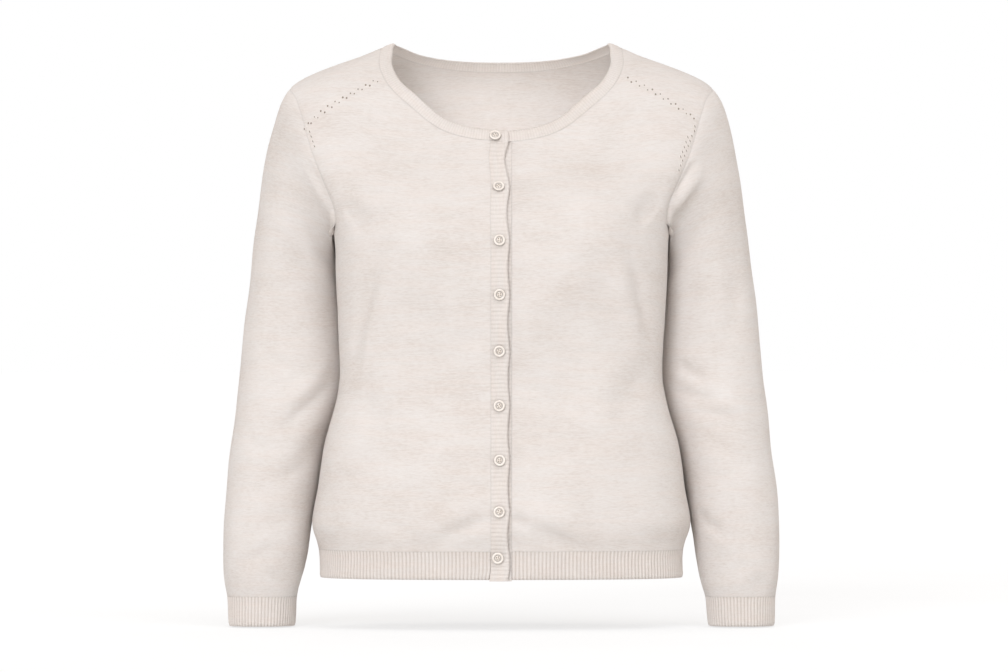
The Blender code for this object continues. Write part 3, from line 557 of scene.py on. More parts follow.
# ---------------------------------------------------------------- lie of the cloth: soft ridges and troughs
# One row per fold, millimetres: where it starts and ends seen from the front (x, z), how wide it is
# across, how far it stands out (+) or sinks (-), and which part of the body it is on
FOLDS = (
    #  on       x0      z0      x1      z1    width  height
    # front, image right
    ("front",    9.0, -541.0,   33.0, -553.0,   7.0, -2.2),
    ("front",   30.0, -551.0,   92.0, -578.0,   9.0, -2.4),
    ("front",   24.0, -530.0,  100.0, -552.0,  14.0,  1.5),
    ("front",  142.0, -243.0,  180.0, -352.0,  15.0, -2.6),
    ("front",  126.0, -236.0,  163.0, -350.0,  17.0,  2.4),
    ("front",  168.0, -374.0,  120.0, -434.0,  20.0, -2.2),
    ("front",  185.0, -520.0,  214.0, -560.0,   7.0, -2.0),
    ("front",  150.0, -556.0,  206.0, -569.0,   8.0, -1.4),
    ("front",  120.0, -470.0,   60.0, -516.0,  24.0,  1.6),
    ("front",   16.0, -380.0,   70.0, -425.0,  16.0, -1.3),
    ("front",   60.0, -300.0,   84.0, -470.0,  26.0, -1.6),
    ("front",   15.0, -148.0,   45.0, -166.0,  12.0, -0.8),
    ("front",  184.0, -176.0,  150.0, -206.0,  13.0, -2.0),
    ("front",  192.0, -192.0,  158.0, -228.0,  11.0,  1.7),
    # front, image left
    ("front",   -2.0, -539.0,  -74.0, -566.0,   9.0, -1.9),
    ("front",  -14.0, -524.0,  -84.0, -548.0,  13.0,  1.4),
    ("front", -134.0, -237.0, -183.0, -393.0,  16.0, -2.8),
    ("front", -118.0, -232.0, -164.0, -390.0,  18.0,  2.5),
    ("front", -168.0, -400.0, -124.0, -452.0,  20.0, -2.0),
    ("front", -212.0, -560.0, -186.0, -570.0,   6.0, -1.8),
    ("front", -204.0, -538.0, -176.0, -556.0,   8.0, -1.8),
    ("front", -140.0, -548.0,  -90.0, -562.0,   9.0, -1.2),
    ("front",  -60.0, -296.0,  -92.0, -470.0,  27.0, -1.6),
    ("front", -128.0, -480.0,  -66.0, -512.0,  24.0,  1.5),
    ("front",  -16.0, -330.0,  -58.0, -356.0,  15.0, -1.0),
    ("front", -184.0, -178.0, -152.0, -214.0,  13.0, -1.8),
    ("front", -190.0, -196.0, -160.0, -238.0,  11.0,  1.5),
    # back
    ("back",   -60.0, -330.0, -150.0, -372.0,  17.0, -2.4),
    ("back",    50.0, -318.0,  156.0, -350.0,  17.0, -2.2),
    ("back",   -40.0, -362.0,  118.0, -392.0,  15.0,  2.0),
    ("back",   -96.0, -398.0,   64.0, -420.0,  14.0, -2.0),
    ("back",  -136.0, -180.0, -110.0, -320.0,  20.0,  2.0),
    ("back",   140.0, -172.0,  118.0, -330.0,  20.0,  2.2),
    ("back",  -170.0, -196.0, -120.0, -262.0,  13.0, -2.2),
    ("back",   172.0, -190.0,  126.0, -270.0,  13.0, -2.2),
    ("back",   -30.0, -546.0, -104.0, -566.0,   9.0, -2.0),
    ("back",    40.0, -548.0,  120.0, -564.0,   9.0, -2.0),
    ("back",   150.0, -540.0,  196.0, -560.0,   8.0, -1.6),
    ("back",  -206.0, -552.0, -160.0, -566.0,   8.0, -1.6),
    ("back",     0.0, -250.0,   10.0, -470.0,  30.0, -1.8),
)
# Folds of each sleeve: section number and place round it (0 outside, 0.5 in front, 1 inside, 1.5 behind)
SLEEVE_FOLDS = (
    #  arm   r0     t0     r1     t1    width  height
    # image right
    (1,     1.30, 0.42,   0.02, 0.78,   7.5, -4.0),
    (1,     2.1,  0.44,   1.2,  0.84,   9.0,  2.2),
    (1,     4.0,  0.42,   5.4,  0.80,  10.0, -1.6),
    (1,     5.2,  0.50,   6.8,  0.92,  12.0,  1.8),
    (1,     6.2,  0.30,   8.3,  0.34,  12.0, -1.5),
    (1,     6.0,  0.46,   8.6,  0.50,  14.0,  1.4),
    (1,     8.8,  0.72,   9.4,  0.50,   8.0, -2.6),
    (1,     9.6,  0.78,  10.2,  0.46,   9.0, -2.4),
    (1,    10.3,  0.70,  11.2,  0.34,   9.0, -2.6),
    (1,    10.0,  0.50,  10.6,  0.24,  10.0,  1.8),
    (1,    11.8,  0.66,  12.6,  0.36,  10.0, -1.8),
    (1,    12.8,  0.30,  13.2,  0.60,   9.0, -1.2),
    (1,    14.4,  0.84,  15.6,  0.56,   8.0, -2.2),
    (1,    15.2,  0.76,  16.2,  0.48,   9.0,  1.6),
    (1,    16.6,  0.40,  17.6,  0.62,   9.0, -1.6),
    (1,    17.6,  0.22,  18.2,  0.44,   8.0, -1.4),
    (1,     9.2,  1.20,  10.4,  1.62,  10.0, -2.4),
    (1,    10.4,  1.24,  11.6,  1.66,  10.0, -2.2),
    (1,    11.2,  1.30,  12.4,  1.70,  10.0,  1.8),
    (1,     3.6,  1.16,   5.4,  1.52,  11.0, -2.6),
    (1,    16.2,  1.30,  17.4,  1.66,   9.0, -1.6),
    (1,     6.0,  1.56,   8.6,  1.60,  15.0, -1.5),
    # image left
    (-1,    1.2,  0.44,   0.02, 0.78,   8.0, -2.6),
    (-1,    3.8,  0.46,   5.2,  0.84,  10.0, -1.4),
    (-1,    4.8,  0.50,   6.4,  0.88,  12.0,  1.6),
    (-1,    5.8,  0.34,   6.3,  0.66,   9.0, -1.0),
    (-1,    9.3,  0.78,  11.6,  0.46,   9.0, -2.4),
    (-1,    8.6,  0.74,  10.6,  0.44,  10.0,  2.0),
    (-1,   10.8,  0.80,  12.6,  0.52,  11.0,  1.8),
    (-1,    8.4,  0.30,   9.2,  0.52,  10.0, -1.5),
    (-1,   11.4,  0.20,  12.4,  0.46,  10.0, -1.6),
    (-1,   12.6,  0.80,  13.6,  0.44,   9.0, -1.6),
    (-1,   14.6,  0.72,  15.2,  0.40,   9.0, -1.6),
    (-1,   16.0,  0.60,  16.9,  0.26,   9.0, -1.8),
    (-1,   15.4,  0.62,  16.2,  0.32,  10.0,  1.3),
    (-1,   17.4,  0.44,  18.0,  0.76,   8.0, -1.4),
    (-1,    6.6,  0.36,   8.2,  0.40,  13.0, -1.2),
    (-1,    9.0,  1.22,  10.2,  1.60,  10.0, -2.4),
    (-1,   10.6,  1.20,  11.8,  1.62,  10.0, -2.4),
    (-1,    9.8,  1.28,  11.0,  1.64,  10.0,  1.8),
    (-1,    3.4,  1.20,   5.0,  1.56,  11.0, -2.4),
    (-1,   15.8,  1.26,  16.8,  1.62,   9.0, -1.6),
    (-1,    6.2,  1.50,   8.4,  1.54,  15.0, -1.4),
)
# slow unevenness all over: how many waves per metre along x, y, z, and how high (mm)
SWELL = (
    (7.0, 3.0, 11.0, 0.55, 0.4),
    (13.0, 5.0, -7.0, 0.45, 1.9),
    (-5.0, 8.0, 17.0, 0.40, 3.1),
    (19.0, -6.0, 9.0, 0.28, 4.4),
    (-11.0, 4.0, 27.0, 0.25, 5.2),
    (23.0, 9.0, -21.0, 0.18, 0.9),
)


def sink(p, line, width, height):
    """How far a fold along the polyline moves the points p."""
    best = np.full(len(p), 1e9)
    along = np.zeros(len(p))
    n = len(line) - 1
    for i in range(n):
        a, b = line[i], line[i + 1]
        d = b - a
        u = np.clip(((p - a) @ d) / max(float(d @ d), 1e-12), 0, 1)
        r = np.linalg.norm(p - (a + u[:, None] * d), axis=1)
        near = r < best
        best = np.where(near, r, best)
        along = np.where(near, (i + u) / n, along)
    taper = np.clip(np.minimum(along, 1 - along) * 2.6, 0, 1)
    taper = 0.12 + 0.88 * taper * taper * (3 - 2 * taper)
    core = np.exp(-(best / width) ** 2)
    wide = np.exp(-(best / (2.1 * width)) ** 2)
    return height * taper * (1.25 * core - 0.35 * wide)


fold_lines = {"front": [], "back": []}
for on, x0, z0, x1, z1, wd, ht in FOLDS:
    s = np.linspace(0, 1, 13)
    x, z = (x0 + (x1 - x0) * s) * MM, (z0 + (z1 - z0) * s) * MM
    half = front if on == "front" else back
    a = half.a_of_x(np.abs(x), z)
    p = half.point(a, z)
    p[:, 0] *= np.where(x < 0, -1.0, 1.0)
    fold_lines[on].append((p, wd * MM, ht * 2.0 * MM))


# the armhole seam lies in a soft valley down the front of the underarm
seam_az = np.vstack([fg[K2, M:JU:-1], fg[K2:, JU]])
seam_az = seam_az[(seam_az[:, 1] < -0.115)][::5]
valley = front.point(seam_az[:, 0], seam_az[:, 1])
VALLEY = (9.0 * MM, -2.4 * MM)
for m_ in (1, -1):
    fold_lines["front"].append((mirror(valley, m_), *VALLEY))


def swell(p):
    d = np.zeros(len(p))
    for kx, ky, kz, amp, ph in SWELL:
        d += amp * MM * np.sin(2 * np.pi * (kx * p[:, 0] + ky * p[:, 1] + kz * p[:, 2]) / 2.0 + ph)
    return d


def smooth_step(x, a, b):
    u = np.clip((x - a) / (b - a), 0, 1)
    return u * u * (3 - 2 * u)


def body_relief(p):
    """Outward move of any point of the body form, the same for every piece that meets there."""
    p = np.asarray(p, float).reshape(-1, 3)
    d = swell(p)
    for on in ("front", "back"):
        for line, wd, ht in fold_lines[on]:
            d += sink(p, line, wd, ht)
    # nothing stands out where the sleeve lies against the body, nor at the neck
    side = smooth_step(np.abs(p[:, 0]), 0.150, 0.176) * smooth_step(p[:, 2], -0.600, -0.560) * (1 - smooth_step(p[:, 2], -0.20, -0.15))
    lowest = -0.0004 - 0.0022 * smooth_step(p[:, 2], -0.262, -0.205)
    d = d * (1 - side) + np.clip(d, lowest, 0.0001) * side
    d *= 1 - 0.7 * smooth_step(p[:, 2], -0.10, -0.05)
    near_band = np.exp(-(p[:, 0] / 0.009) ** 2) * (p[:, 1] < 0)
    return d * (1 - 0.75 * near_band)


# ---------------------------------------------------------------- finishes
class Tree:
    """Short words for building a node material."""

    def __init__(self, name):
        self.mat = bpy.data.materials.new(name)
        self.mat.use_nodes = True
        self.nt = self.mat.node_tree
        self.shader = self.nt.nodes["Principled BSDF"]

    def node(self, kind, **props):
        n = self.nt.nodes.new(kind)
        for k, v in props.items():
            setattr(n, k, v)
        return n

    def put(self, socket, v):
        if isinstance(v, bpy.types.NodeSocket):
            self.nt.links.new(v, socket)
        else:
            socket.default_value = v

    def math(self, op, a, b=0.0, c=0.0, clamp=False):
        n = self.node("ShaderNodeMath", operation=op, use_clamp=clamp)
        for s, v in zip(n.inputs, (a, b, c)):
            self.put(s, v)
        return n.outputs[0]

    def xyz(self, x, y, z=0.0):
        n = self.node("ShaderNodeCombineXYZ")
        for s, v in zip(n.inputs, (x, y, z)):
            self.put(s, v)
        return n.outputs[0]

    def noise(self, vec, scale, detail=2.0, rough=0.5, dist=0.0):
        n = self.node("ShaderNodeTexNoise", noise_dimensions="3D")
        self.put(n.inputs["Vector"], vec)
        n.inputs["Scale"].default_value = scale
        n.inputs["Detail"].default_value = detail
        n.inputs["Roughness"].default_value = rough
        n.inputs["Distortion"].default_value = dist
        return n.outputs["Fac"]

    def span(self, v, a, b, c, d):
        n = self.node("ShaderNodeMapRange", clamp=True)
        for s, x in zip(n.inputs, (v, a, b, c, d)):
            self.put(s, x)
        return n.outputs[0]

    def mix(self, f, a, b, blend="MIX"):
        n = self.node("ShaderNodeMix", data_type="RGBA", blend_type=blend)
        self.put(n.inputs[0], f)
        self.put(n.inputs[6], a)
        self.put(n.inputs[7], b)
        return n.outputs[2]

    def bump(self, height, dist, strength=1.0, normal=None):
        n = self.node("ShaderNodeBump")
        n.inputs["Strength"].default_value = strength
        n.inputs["Distance"].default_value = dist
        self.put(n.inputs["Height"], height)
        if normal is not None:
            self.put(n.inputs["Normal"], normal)
        return n.outputs[0]


def knitted(name, light, mid, dark, wale, course, ridge, streak, sheen):
    """Fine knit in a heathered yarn: rows of small v-shaped stitches, and lighter and darker lengths of yarn along the courses."""
    t = Tree(name)
    uv = t.node("ShaderNodeUVMap", uv_map="Knit")
    sep = t.node("ShaderNodeSeparateXYZ")
    t.put(sep.inputs[0], uv.outputs[0])
    u, v = sep.outputs[0], sep.outputs[1]
    # the yarn wanders a little, so no row is quite straight
    wob = t.noise(t.xyz(t.math("MULTIPLY", u, 60.0), t.math("MULTIPLY", v, 60.0), 3.1), 1.0, 2.0)
    v2 = t.math("ADD", v, t.math("MULTIPLY", t.math("SUBTRACT", wob, 0.5), 0.0012))
    u2 = t.math("ADD", u, t.math("MULTIPLY", t.math("SUBTRACT", wob, 0.5), 0.0009))
    # stitch: two slanting legs a wale
    U = t.math("DIVIDE", u2, wale)
    f = t.math("MULTIPLY", t.math("ABSOLUTE", t.math("SUBTRACT", t.math("FRACT", U), 0.5)), 2.0)
    phase = t.math("ADD", t.math("DIVIDE", v2, course), t.math("MULTIPLY", f, 0.85))
    loops = t.math("ADD", t.math("MULTIPLY", t.math("COSINE", t.math("MULTIPLY", phase, 2 * math.pi)), 0.5), 0.5)
    leg = t.math("SINE", t.math("MULTIPLY", f, math.pi))
    stitch = t.math("MULTIPLY", t.math("POWER", leg, 0.6), t.math("ADD", t.math("MULTIPLY", loops, 0.62), 0.38))
    # heather: long thin lengths of lighter and darker yarn, broken up by shorter flecks
    long_ = t.noise(t.xyz(t.math("MULTIPLY", u, 70.0), t.math("MULTIPLY", v2, 430.0), 0.7), 1.0, 3.0, 0.55)
    short = t.noise(t.xyz(t.math("MULTIPLY", u, 170.0), t.math("MULTIPLY", v2, 760.0), 5.2), 1.0, 2.0, 0.6)
    cloud = t.noise(t.xyz(t.math("MULTIPLY", u, 15.0), t.math("MULTIPLY", v, 24.0), 9.4), 1.0, 2.0, 0.5)
    warm = t.noise(t.xyz(t.math("MULTIPLY", u, 14.0), t.math("MULTIPLY", v2, 120.0), 14.0), 1.0, 2.0, 0.5)
    tone = t.math("ADD", t.math("MULTIPLY", t.math("SUBTRACT", long_, 0.5), 1.25 * streak),
                  t.math("ADD", t.math("MULTIPLY", t.math("SUBTRACT", short, 0.5), 1.9 * streak),
                         t.math("MULTIPLY", t.math("SUBTRACT", cloud, 0.5), 1.5 * streak)))
    ramp = t.node("ShaderNodeValToRGB")
    ramp.color_ramp.elements[0].position = 0.0
    ramp.color_ramp.elements[0].color = (*dark, 1)
    ramp.color_ramp.elements[1].position = 1.0
    ramp.color_ramp.elements[1].color = (*light, 1)
    e = ramp.color_ramp.elements.new(0.5)
    e.color = (*mid, 1)
    t.put(ramp.inputs[0], t.math("ADD", tone, 0.5, clamp=True))
    colour = t.mix(t.span(warm, 0.42, 0.62, 0.0, 0.55), ramp.outputs[0],
                   t.mix(1.0, ramp.outputs[0], (1.012, 0.985, 0.968, 1), "MULTIPLY"))
    # painted shade: the colour is darker in the gaps between stitches and in the rib hollows, where shade falls
    gap = t.span(stitch, 0.0, 0.6, 0.90, 1.0)
    colour = t.mix(1.0, colour, t.xyz(gap, gap, gap), "MULTIPLY")
    hollow = t.node("ShaderNodeAttribute", attribute_name="hollow", attribute_type="GEOMETRY")
    # painted shade in the rib hollows, down to 0.80 where deepest, with a warmer tint
    deep = t.span(hollow.outputs["Fac"], 0.0, 1.0, 1.0, 0.80)
    warm_painted_shade = t.span(hollow.outputs["Fac"], 0.0, 1.0, 1.0, 0.755)
    colour = t.mix(1.0, colour, t.xyz(deep, t.math("MULTIPLY", t.math("ADD", deep, warm_painted_shade), 0.5), warm_painted_shade), "MULTIPLY")
    # painted shade: darker along the seams, where shade falls in the seam groove
    seam = t.node("ShaderNodeAttribute", attribute_name="seam", attribute_type="GEOMETRY")
    sm = t.span(seam.outputs["Fac"], 0.62, 1.0, 1.0, 0.90)
    colour = t.mix(1.0, colour, t.xyz(sm, sm, sm), "MULTIPLY")
    t.put(t.shader.inputs["Base Color"], colour)
    fuzz = t.noise(t.xyz(t.math("MULTIPLY", u, 2100.0), t.math("MULTIPLY", v, 1700.0), 2.0), 1.0, 3.0, 0.7)
    t.put(t.shader.inputs["Roughness"], t.span(fuzz, 0.3, 0.7, 0.86, 0.98))
    n1 = t.bump(stitch, ridge)
    n2 = t.bump(long_, 0.00035, 0.5, n1)
    n3 = t.bump(fuzz, 0.00008, 0.6, n2)
    t.put(t.shader.inputs["Normal"], n3)
    t.shader.inputs["Metallic"].default_value = 0.0
    t.shader.inputs["Specular IOR Level"].default_value = 0.22
    t.shader.inputs["Sheen Weight"].default_value = sheen
    t.shader.inputs["Sheen Roughness"].default_value = 0.55
    t.shader.inputs["Sheen Tint"].default_value = (1.0, 0.975, 0.95, 1)
    return t.mat


def cloth_materials():
    k = knitted("fine_knit", LIGHT, MID, DARK, 0.00142, 0.00112, 0.00030, 0.68, 0.16)
    r = knitted("rib_knit", RIB_LIGHT, RIB_MID, RIB_DARK, 0.00108, 0.00100, 0.00022, 0.36, 0.14)
    # buttons: pearly resin with a faint cloudy swirl
    t = Tree("pearly_button")
    co = t.node("ShaderNodeTexCoord").outputs["Object"]
    swirl = t.noise(co, 210.0, 3.0, 0.6, 1.6)
    grain = t.noise(co, 900.0, 2.0, 0.6)
    # painted shade: the button is darker in the groove inside its rim and round its outer edge
    low = t.node("ShaderNodeAttribute", attribute_name="hollow", attribute_type="GEOMETRY")
    dim = t.span(low.outputs["Fac"], 0.0, 1.0, 1.0, 0.48)
    clear_ = t.mix(t.span(swirl, 0.34, 0.66, 0.0, 1.0), (0.700, 0.640, 0.588, 1), (0.800, 0.757, 0.715, 1))
    t.put(t.shader.inputs["Base Color"], t.mix(1.0, clear_, t.xyz(dim, t.math("MULTIPLY", dim, 0.985), t.math("MULTIPLY", dim, 0.965)), "MULTIPLY"))
    t.put(t.shader.inputs["Roughness"], t.span(swirl, 0.3, 0.7, 0.24, 0.38))
    t.put(t.shader.inputs["Normal"], t.bump(grain, 0.00004, 0.4))
    t.shader.inputs["Coat Weight"].default_value = 0.18
    t.shader.inputs["Coat Roughness"].default_value = 0.16
    t.shader.inputs["Specular IOR Level"].default_value = 0.4
    p = t.mat
    # sewing thread, twisted
    t = Tree("sewing_thread")
    co = t.node("ShaderNodeTexCoord").outputs["Object"]
    ply = t.noise(co, 2600.0, 2.0, 0.6, 0.6)
    t.put(t.shader.inputs["Base Color"], t.mix(t.span(ply, 0.35, 0.65, 0.0, 1.0), (0.52, 0.44, 0.37, 1), (0.66, 0.585, 0.51, 1)))
    t.put(t.shader.inputs["Roughness"], t.span(ply, 0.3, 0.7, 0.6, 0.8))
    t.put(t.shader.inputs["Normal"], t.bump(ply, 0.0001, 0.7))
    t.shader.inputs["Sheen Weight"].default_value = 0.1
    th = t.mat
    # the shaded cloth that shows through an eyelet or a button's hole
    t = Tree("shaded_hole")
    co = t.node("ShaderNodeTexCoord").outputs["Object"]
    sp = t.noise(co, 1500.0, 2.0, 0.6)
    t.put(t.shader.inputs["Base Color"], t.mix(t.span(sp, 0.3, 0.7, 0.0, 1.0), (0.235, 0.190, 0.155, 1), (0.31, 0.26, 0.22, 1)))
    t.put(t.shader.inputs["Roughness"], t.span(sp, 0.3, 0.7, 0.9, 1.0))
    t.put(t.shader.inputs["Normal"], t.bump(sp, 0.0001, 0.5))
    t.shader.inputs["Specular IOR Level"].default_value = 0.1
    hd = t.mat
    # single yarns that stand clear of the knit, round eyelets and at shaping marks
    t = Tree("loose_yarn")
    co = t.node("ShaderNodeTexCoord").outputs["Object"]
    sp = t.noise(co, 1900.0, 2.0, 0.6, 0.4)
    t.put(t.shader.inputs["Base Color"], t.mix(t.span(sp, 0.3, 0.7, 0.0, 1.0), MID_D, (*LIGHT, 1)))
    t.put(t.shader.inputs["Roughness"], t.span(sp, 0.3, 0.7, 0.85, 0.97))
    t.put(t.shader.inputs["Normal"], t.bump(sp, 0.00012, 0.6))
    t.shader.inputs["Sheen Weight"].default_value = 0.14
    t.shader.inputs["Specular IOR Level"].default_value = 0.2
    yn = t.mat
    return k, r, p, th, hd, yn


LIGHT = (0.800, 0.756, 0.724)
MID = (0.756, 0.703, 0.664)
DARK = (0.680, 0.614, 0.566)
MID_D = (0.690, 0.628, 0.580, 1)
RIB_LIGHT = (0.800, 0.752, 0.718)
RIB_MID = (0.752, 0.696, 0.655)
RIB_DARK = (0.680, 0.614, 0.566)


# ---------------------------------------------------------------- making the pieces
def numbered(valid):
    ids = np.full(valid.shape, -1, int)
    ids[valid] = np.arange(valid.sum())
    return ids


def rim_distance(pts, rim_pts, far=0.012):
    """Distance of each point from the nearest border point, no further than far."""
    tree = kdtree.KDTree(len(rim_pts))
    for i, p in enumerate(rim_pts):
        tree.insert(p, i)
    tree.balance()
    return np.array([min(tree.find(p)[2], far) for p in pts])


def shell(name, P, W, UV, valid=None, wrap=False, side=1, thick=WALL, hollow_shade=None, mitre_at=None,
          finish=None, node=None, tuck=TUCK, groove=0.0, groove_w=2.0 * MM, free=None, shift=None):
    """One closed piece of cloth from a grid of outer points P, normals W and stitch coordinates UV [column, row]."""
    C, R = P.shape[:2]
    valid = np.ones((C, R), bool) if valid is None else valid
    if wrap:
        ids = numbered(valid[:-1])
        ids = np.vstack([ids, ids[:1]])
    else:
        ids = numbered(valid)
    n = int(ids.max()) + 1
    node_of = np.full(n, -1)
    flat = ids.ravel()
    src = np.arange(C * R)
    node_of[flat[flat >= 0][::-1]] = src[flat >= 0][::-1]
    pts, nrm = P.reshape(-1, 3)[node_of].copy(), W.reshape(-1, 3)[node_of]
    G = np.arange(C * R).reshape(C, R)
    q = np.stack([G[:-1, :-1], G[1:, :-1], G[1:, 1:], G[:-1, 1:]], -1).reshape(-1, 4)
    q = q[(flat[q] >= 0).all(1)]
    e = np.concatenate([q[:, [0, 1]], q[:, [1, 2]], q[:, [2, 3]], q[:, [3, 0]]])
    ev = flat[e].astype(np.int64)
    rim = ~np.isin(ev[:, 1] * n + ev[:, 0], ev[:, 0] * n + ev[:, 1])
    rim_e, rim_v = e[rim], ev[rim]
    on_rim = np.unique(rim_v)
    # the border is drawn in a little along the cloth
    t = pts[rim_v[:, 1]] - pts[rim_v[:, 0]]
    step = np.zeros((n, 3))
    for c in (0, 1):
        np.add.at(step, rim_v[:, c], unit(np.cross(nrm[rim_v[:, c]], t)))
    pull = unit(step) * (np.linalg.norm(step, axis=1) > 1e-9)[:, None]
    pts += pull * tuck
    # painted shade amount for the rib hollows, stored in the hollow attribute
    hollow = np.zeros(n) if hollow_shade is None else hollow_shade.ravel()[node_of]
    seam = np.zeros(n)
    if groove:
        seam_nodes = on_rim
        if free is not None:
            fr = free.ravel()[node_of].astype(bool)
            seam_nodes = on_rim[~fr[on_rim]]
        d = rim_distance(pts, pts[seam_nodes])
        # closeness to the seam: it sets the groove's depth and the painted shade along the seam in the finish
        seam = np.exp(-(d / groove_w) ** 2)
        # deepest at the armhole, hardly any above the hem band
        x_, z_ = np.abs(pts[:, 0]), pts[:, 2]
        deep = 0.35 + 0.65 * smooth_step(x_, 0.14, 0.18) * smooth_step(z_, -0.30, -0.24)
        deep *= 0.3 + 0.7 * smooth_step(z_, -0.57, -0.54)
        pts -= nrm * (groove * seam * deep)[:, None]
    inner = pts - nrm * thick
    if mitre_at is not None:
        where, vec = mitre_at
        v = flat[where]
        inner[v] = pts[v] - vec
    # cut edges are pinched, so that they shade as rounded
    open_rim = on_rim if free is None else on_rim[free.ravel()[node_of].astype(bool)[on_rim]]
    pinch = 0.22 * (pts[open_rim] - inner[open_rim])
    if mitre_at is None:
        pts[open_rim] -= pinch
        inner[open_rim] += pinch
    verts = np.vstack([pts, inner])
    uv = UV.reshape(-1, 2)
    f_g = np.vstack([q, q[:, ::-1], np.stack([rim_e[:, 1], rim_e[:, 0], rim_e[:, 0], rim_e[:, 1]], 1)])
    f_v = np.vstack([flat[q], flat[q][:, ::-1] + n,
                     np.stack([rim_v[:, 1], rim_v[:, 0], rim_v[:, 0] + n, rim_v[:, 1] + n], 1)])
    uvs = uv[f_g]
    if side < 0:
        verts = verts * np.array((-1.0, 1.0, 1.0))
        f_v, uvs = f_v[:, ::-1], uvs[:, ::-1].copy()
        uvs[..., 0] = -uvs[..., 0] - 0.0173
    if shift is not None:
        verts = shift(verts)
    mesh = bpy.data.meshes.new(name)
    mesh.vertices.add(len(verts))
    mesh.vertices.foreach_set("co", verts.astype(np.float32).ravel())
    mesh.loops.add(f_v.size)
    mesh.loops.foreach_set("vertex_index", f_v.astype(np.int32).ravel())
    mesh.polygons.add(len(f_v))
    mesh.polygons.foreach_set("loop_start", np.arange(0, f_v.size, 4, dtype=np.int32))
    mesh.polygons.foreach_set("use_smooth", np.ones(len(f_v), bool))
    layer = mesh.uv_layers.new(name="Knit")
    layer.data.foreach_set("uv", uvs.astype(np.float32).ravel())
    # both attributes steer painted shade in the finish
    for key, val in (("hollow", hollow), ("seam", seam)):
        at = mesh.attributes.new(key, "FLOAT", "POINT")
        at.data.foreach_set("value", np.concatenate([val, val]).astype(np.float32))
    mesh.update(calc_edges=True)
    mesh.validate()
    # a cut edge that lies against its neighbour in a seam doesn't turn the light; only open edges shade as rounded
    ends = np.empty(len(mesh.edges) * 2, dtype=np.int32)
    mesh.edges.foreach_get("vertices", ends)
    ends = ends.reshape(-1, 2)
    in_seam = np.zeros(2 * n, bool)
    shut = np.setdiff1d(on_rim, open_rim) if free is not None else on_rim
    in_seam[shut] = True
    in_seam[shut + n] = True
    mesh.edges.foreach_set("use_edge_sharp", in_seam[ends].all(1) & ((ends[:, 0] < n) == (ends[:, 1] < n)))
    obj = bpy.data.objects.new(name, mesh)
    bpy.context.scene.collection.objects.link(obj)
    if finish is not None:
        mesh.materials.append(finish)
    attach(obj, "root")
    if node:
        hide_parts(node)
    return obj


def rib(u, pitch):
    """0 on top of a rib, 1 in the hollow between two; broad ribs, narrow hollows."""
    return (0.5 - 0.5 * np.cos(2 * np.pi * u / pitch)) ** 2.0


def drift(v):
    """The over front is pulled towards the wearer's right between the two top buttons."""
    x, z = v[:, 0], v[:, 2]
    near = np.exp(-(np.minimum(x + 0.002, 0) / 0.030) ** 2)
    pull = 2.6 * np.exp(-((z + 0.134) / 0.015) ** 2) + 0.7 * np.exp(-((z + 0.196) / 0.018) ** 2)
    pull = pull + 2.2 * smooth_step(-z, 0.598, 0.617)            # and its lower end swings out a little
    out = v.copy()
    out[:, 0] -= pull * MM * near
    return out


knit, ribbed, pearl, thread, hole_dark, yarn = cloth_materials()

# armhole seam as one loop: tip, down the front, under the arm, up the back
arm_front = np.vstack([fg[K2, M:JU:-1], fg[K2:, JU]])
arm_back = np.vstack([bg[K2, M:JU:-1], bg[K2:, JU]])
loop = np.vstack([front.point(arm_front[:, 0], arm_front[:, 1]), back.point(arm_back[:, 0], arm_back[:, 1])[-2:0:-1]])
loop_n = np.vstack([front.normal(arm_front[:, 0], arm_front[:, 1]), back.normal(arm_back[:, 0], arm_back[:, 1])[-2:0:-1]])
sleeve = Sleeve(loop)
loop_t = np.arange(len(loop)) * 2.0 / len(loop)
sleeve_n = sleeve.normal(loop_t, np.zeros(len(loop)))
mitre = loop_n + sleeve_n
open_ = np.linalg.norm(mitre, axis=1, keepdims=True)
mitre = mitre / open_ * WALL * np.minimum(2.0 / open_, 1.3)
half_n = len(arm_front) - 1


def arm_nodes(rows, c_of=lambda c: c):
    """Grid places of the armhole border, tip to underarm."""
    return [c_of(K2) * rows + r for r in range(M, JU, -1)] + [c_of(c) * rows + JU for c in range(K2, N + 1)]


def panel_points(half, g, sign=0.0):
    ok = ~np.isnan(g[..., 0])
    a, z = np.where(ok, g[..., 0], 0.1), np.where(ok, g[..., 1], -0.3)
    W = half.normal(a, z)
    P = half.point(a, z)
    if sign:
        P = P + W * (sign * lap(a))[..., None]
    return ok, a, z, P, W


def relieved(P, W, side):
    d = body_relief(mirror(P.reshape(-1, 3), side))
    return P + W * d.reshape(P.shape[:2])[..., None]


# fronts
for side, name, sign in ((1, "front_left", -1), (-1, "front_right", 1)):
    ok, a, z, P, W = panel_points(front, fg, sign)
    UV = np.stack([a, read_climb(front_climb, a, z)], -1)
    P = relieved(P, W, side)
    shell(name + "_cloth", P, W, UV, valid=ok, side=side, finish=knit, node=name, groove=0.6 * MM,
                       mitre_at=(np.array(arm_nodes(P.shape[1])), mitre[:half_n + 1]),
                       shift=drift if side < 0 else None)

# back, one piece across
ok, a, z, P, W = panel_points(back, bg)
full_ok = np.vstack([ok[::-1], ok[1:]])
flip = np.array((-1.0, 1.0, 1.0))
full_P = np.concatenate([P[::-1], P[1:] * flip])
full_W = np.concatenate([W[::-1], W[1:] * flip])
sgn = np.concatenate([a[::-1], -a[1:]])
full_UV = np.stack([sgn, read_climb(back_climb, sgn, np.concatenate([z[::-1], z[1:]]))], -1)
full_P = relieved(full_P, full_W, 1)
rows = full_P.shape[1]
ring = [0] + list(range(len(loop) - 1, half_n, -1)) + [half_n]
where = arm_nodes(rows, lambda c: BN - c) + arm_nodes(rows, lambda c: BN + c)
vec = np.vstack([mitre[ring], mitre[ring] * flip])
shell("back_cloth", full_P, full_W, full_UV, valid=full_ok, finish=knit, node="back",
                     groove=0.6 * MM, mitre_at=(np.array(where), vec))

